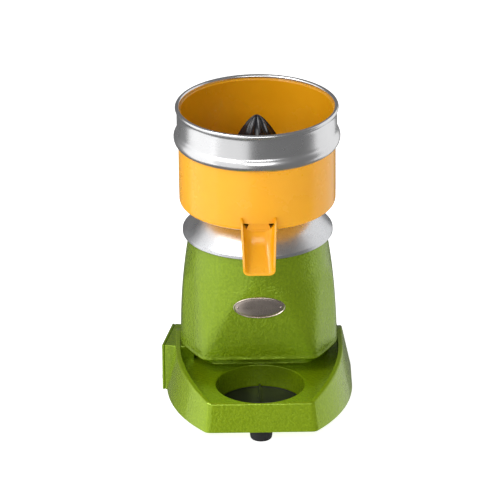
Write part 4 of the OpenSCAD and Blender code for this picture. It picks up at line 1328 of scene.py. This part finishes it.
def makeCoverScrews():
    s = screwShape
    across, high = switchHalf - s["in"], switchTop - s["in"]
    screws = []
    for y, z in ((across, high), (-across, high), (across, switchBottom + s["lowUp"])):
        head = turnPiece("coverScrew", s["profile"], steps=32, closed=False)
        for x1, y1 in ((s["slotLong"], s["slotHalf"]), (s["slotHalf"], s["slotLong"])):
            cutWith(head, addCube("slotCut", (-x1, -y1, s["slotFloor"]), (x1, y1, 0.003)))
        head.rotation_euler = (0, pi / 2, 0)
        head.location = (0, y, z)
        settle(head)
        screws.append(head)
    group = joinPieces(*screws)
    group.name = "coverScrews"
    return smoothOff(toSide(group))


def makeSwitchBody():
    body = softBox("switchBezel", *aboutRocker(-0.012, 0.0015, switchShape["bezel"]), 0.0007, 2)
    cutWith(body, addCube("rockerOpening", *aboutRocker(-0.010, 0.010, switchShape["opening"])))
    return smoothOff(toSide(body))


rockerShape = {
    "radius": 0.0109,
    "rise": 0.003,             # the flats lie this far outside the pivot
    "half": 0.0055,
    # in from the end, and the size there
    "ends": ((0, 0.955), (0.0004, 0.985), (0.0009, 1.0)),
    "backSteps": 20,
}


# Two flats that meet over the pivot, the lower one standing out, and a round back
def makeRocker():
    s, r, rise = rockerShape, rockerShape["radius"], rockerShape["rise"]
    swing = radians(throw["range_deg"][1])
    flat = sqrt(r * r - rise * rise)
    lower = Matrix.Rotation(-swing, 2) @ Vector((rise, -flat))
    topAngle, lowAngle = atan2(flat, rise), atan2(lower.y, lower.x)
    away = tau - (topAngle - lowAngle) % tau
    back = [(r * cos(a), r * sin(a)) for a in angles(lowAngle, lowAngle - away, s["backSteps"])[1:-1]]
    profile = [(rise, flat), (rise, rise * tan(swing / 2)), (lower.x, lower.y)] + back
    ends = [(inset - s["half"], size) for inset, size in s["ends"]]
    ends += [(-y, size) for y, size in reversed(ends)]
    rings = []
    for y, size in ends:
        y += switchShape["middle"]
        rings.append([(x * size - switchShape["pivotIn"], y, pivot.z + up * size) for x, up in profile])
    return smoothOff(toSide(loftPiece("rockerCap", rings)))


handOver(makeSwitchCover(), "greenPaint", "green_enamel", "base", "switch_cover")
handOver(makeSwitchBox(), "greenPaint", "green_enamel", "base", "switch_box")
handOver(makeGasket(), "blackRubber", "black_rubber", "base", "switch_gasket")
handOver(makeCoverScrews(), "machinedSteel", "bright_steel", "base", "switch_cover_screws")
handOver(makeSwitchBody(), "blackSatin", "black_plastic", "base", "switch_body")
handOver(makeRocker(), "clearRocker", "clear_rocker", "rocker", "switch_rocker")


# Cord gland at the back

glandShape = {
    "bore": 0.004,
    "thread": 0.0070,
    "nutFrom": 0.013,
    # radius, distance from the outer end, rounding
    "profile": ((0.0105, 0.013, 0.0004), (0.0105, 0.010, 0.0010), (0.0072, 0.0098, 0.0006),
        (0.0066, 0.0080, 0.0003), (0.0070, 0.0072, 0.0003), (0.0064, 0.0052, 0.0003), (0.0067, 0.0044, 0.0003),
        (0.0060, 0.0024, 0.0003), (0.0058, 0, 0.0008), (0.004, 0, 0.0004)),
}


def makeGland():
    low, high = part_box("cord_gland")
    s = glandShape
    outline = [(s["bore"], low.y, 0), (s["thread"], low.y, 0), (s["thread"], high.y - s["nutFrom"], 0)]
    outline += [(radius, high.y - back, soft) for radius, back, soft in s["profile"]]
    gland = turnPiece("cordGland", rounded(outline, 3), steps=64)
    gland.rotation_euler = (-pi / 2, 0, 0)
    gland.location = (0, 0, (low.z + high.z) / 2)
    settle(gland)
    return smoothOff(gland)


handOver(makeGland(), "blackSatin", "black_plastic", "base", "cord_gland")


# The CAD nodes that stay take the finish of their slot

slotFinish = {
    "green_enamel": "greenPaint", "bright_steel": "machinedSteel", "black_rubber": "blackRubber",
    "black_plastic": "blackSatin", "lamination_steel": "laminatedSteel", "cast_aluminium": "castShield",
    "badge_metal": "badgeMetal", "polished_aluminium": "polishedCasting", "polished_ring": "polishedRing",
    "copper_winding": "copperWire", "capacitor_can": "canAluminium", "white_plastic": "whiteBlock",
    "brass_screw": "turnedBrass", "clear_rocker": "clearRocker", "orange_plastic": "orangePlastic",
    "strainer_steel": "strainerSheet", "reamer_plastic": "blackGloss",
}
for part in frame["record"]["subparts"]:
    node = frame["nodes"][part["node"]]
    finish = finishes[slotFinish[part["material_slot"]]]
    if not node.material_slots:
        node.data.materials.append(finish)
    for place in node.material_slots:
        place.material = finish
print("carried over:", len(frame["nodes"]))
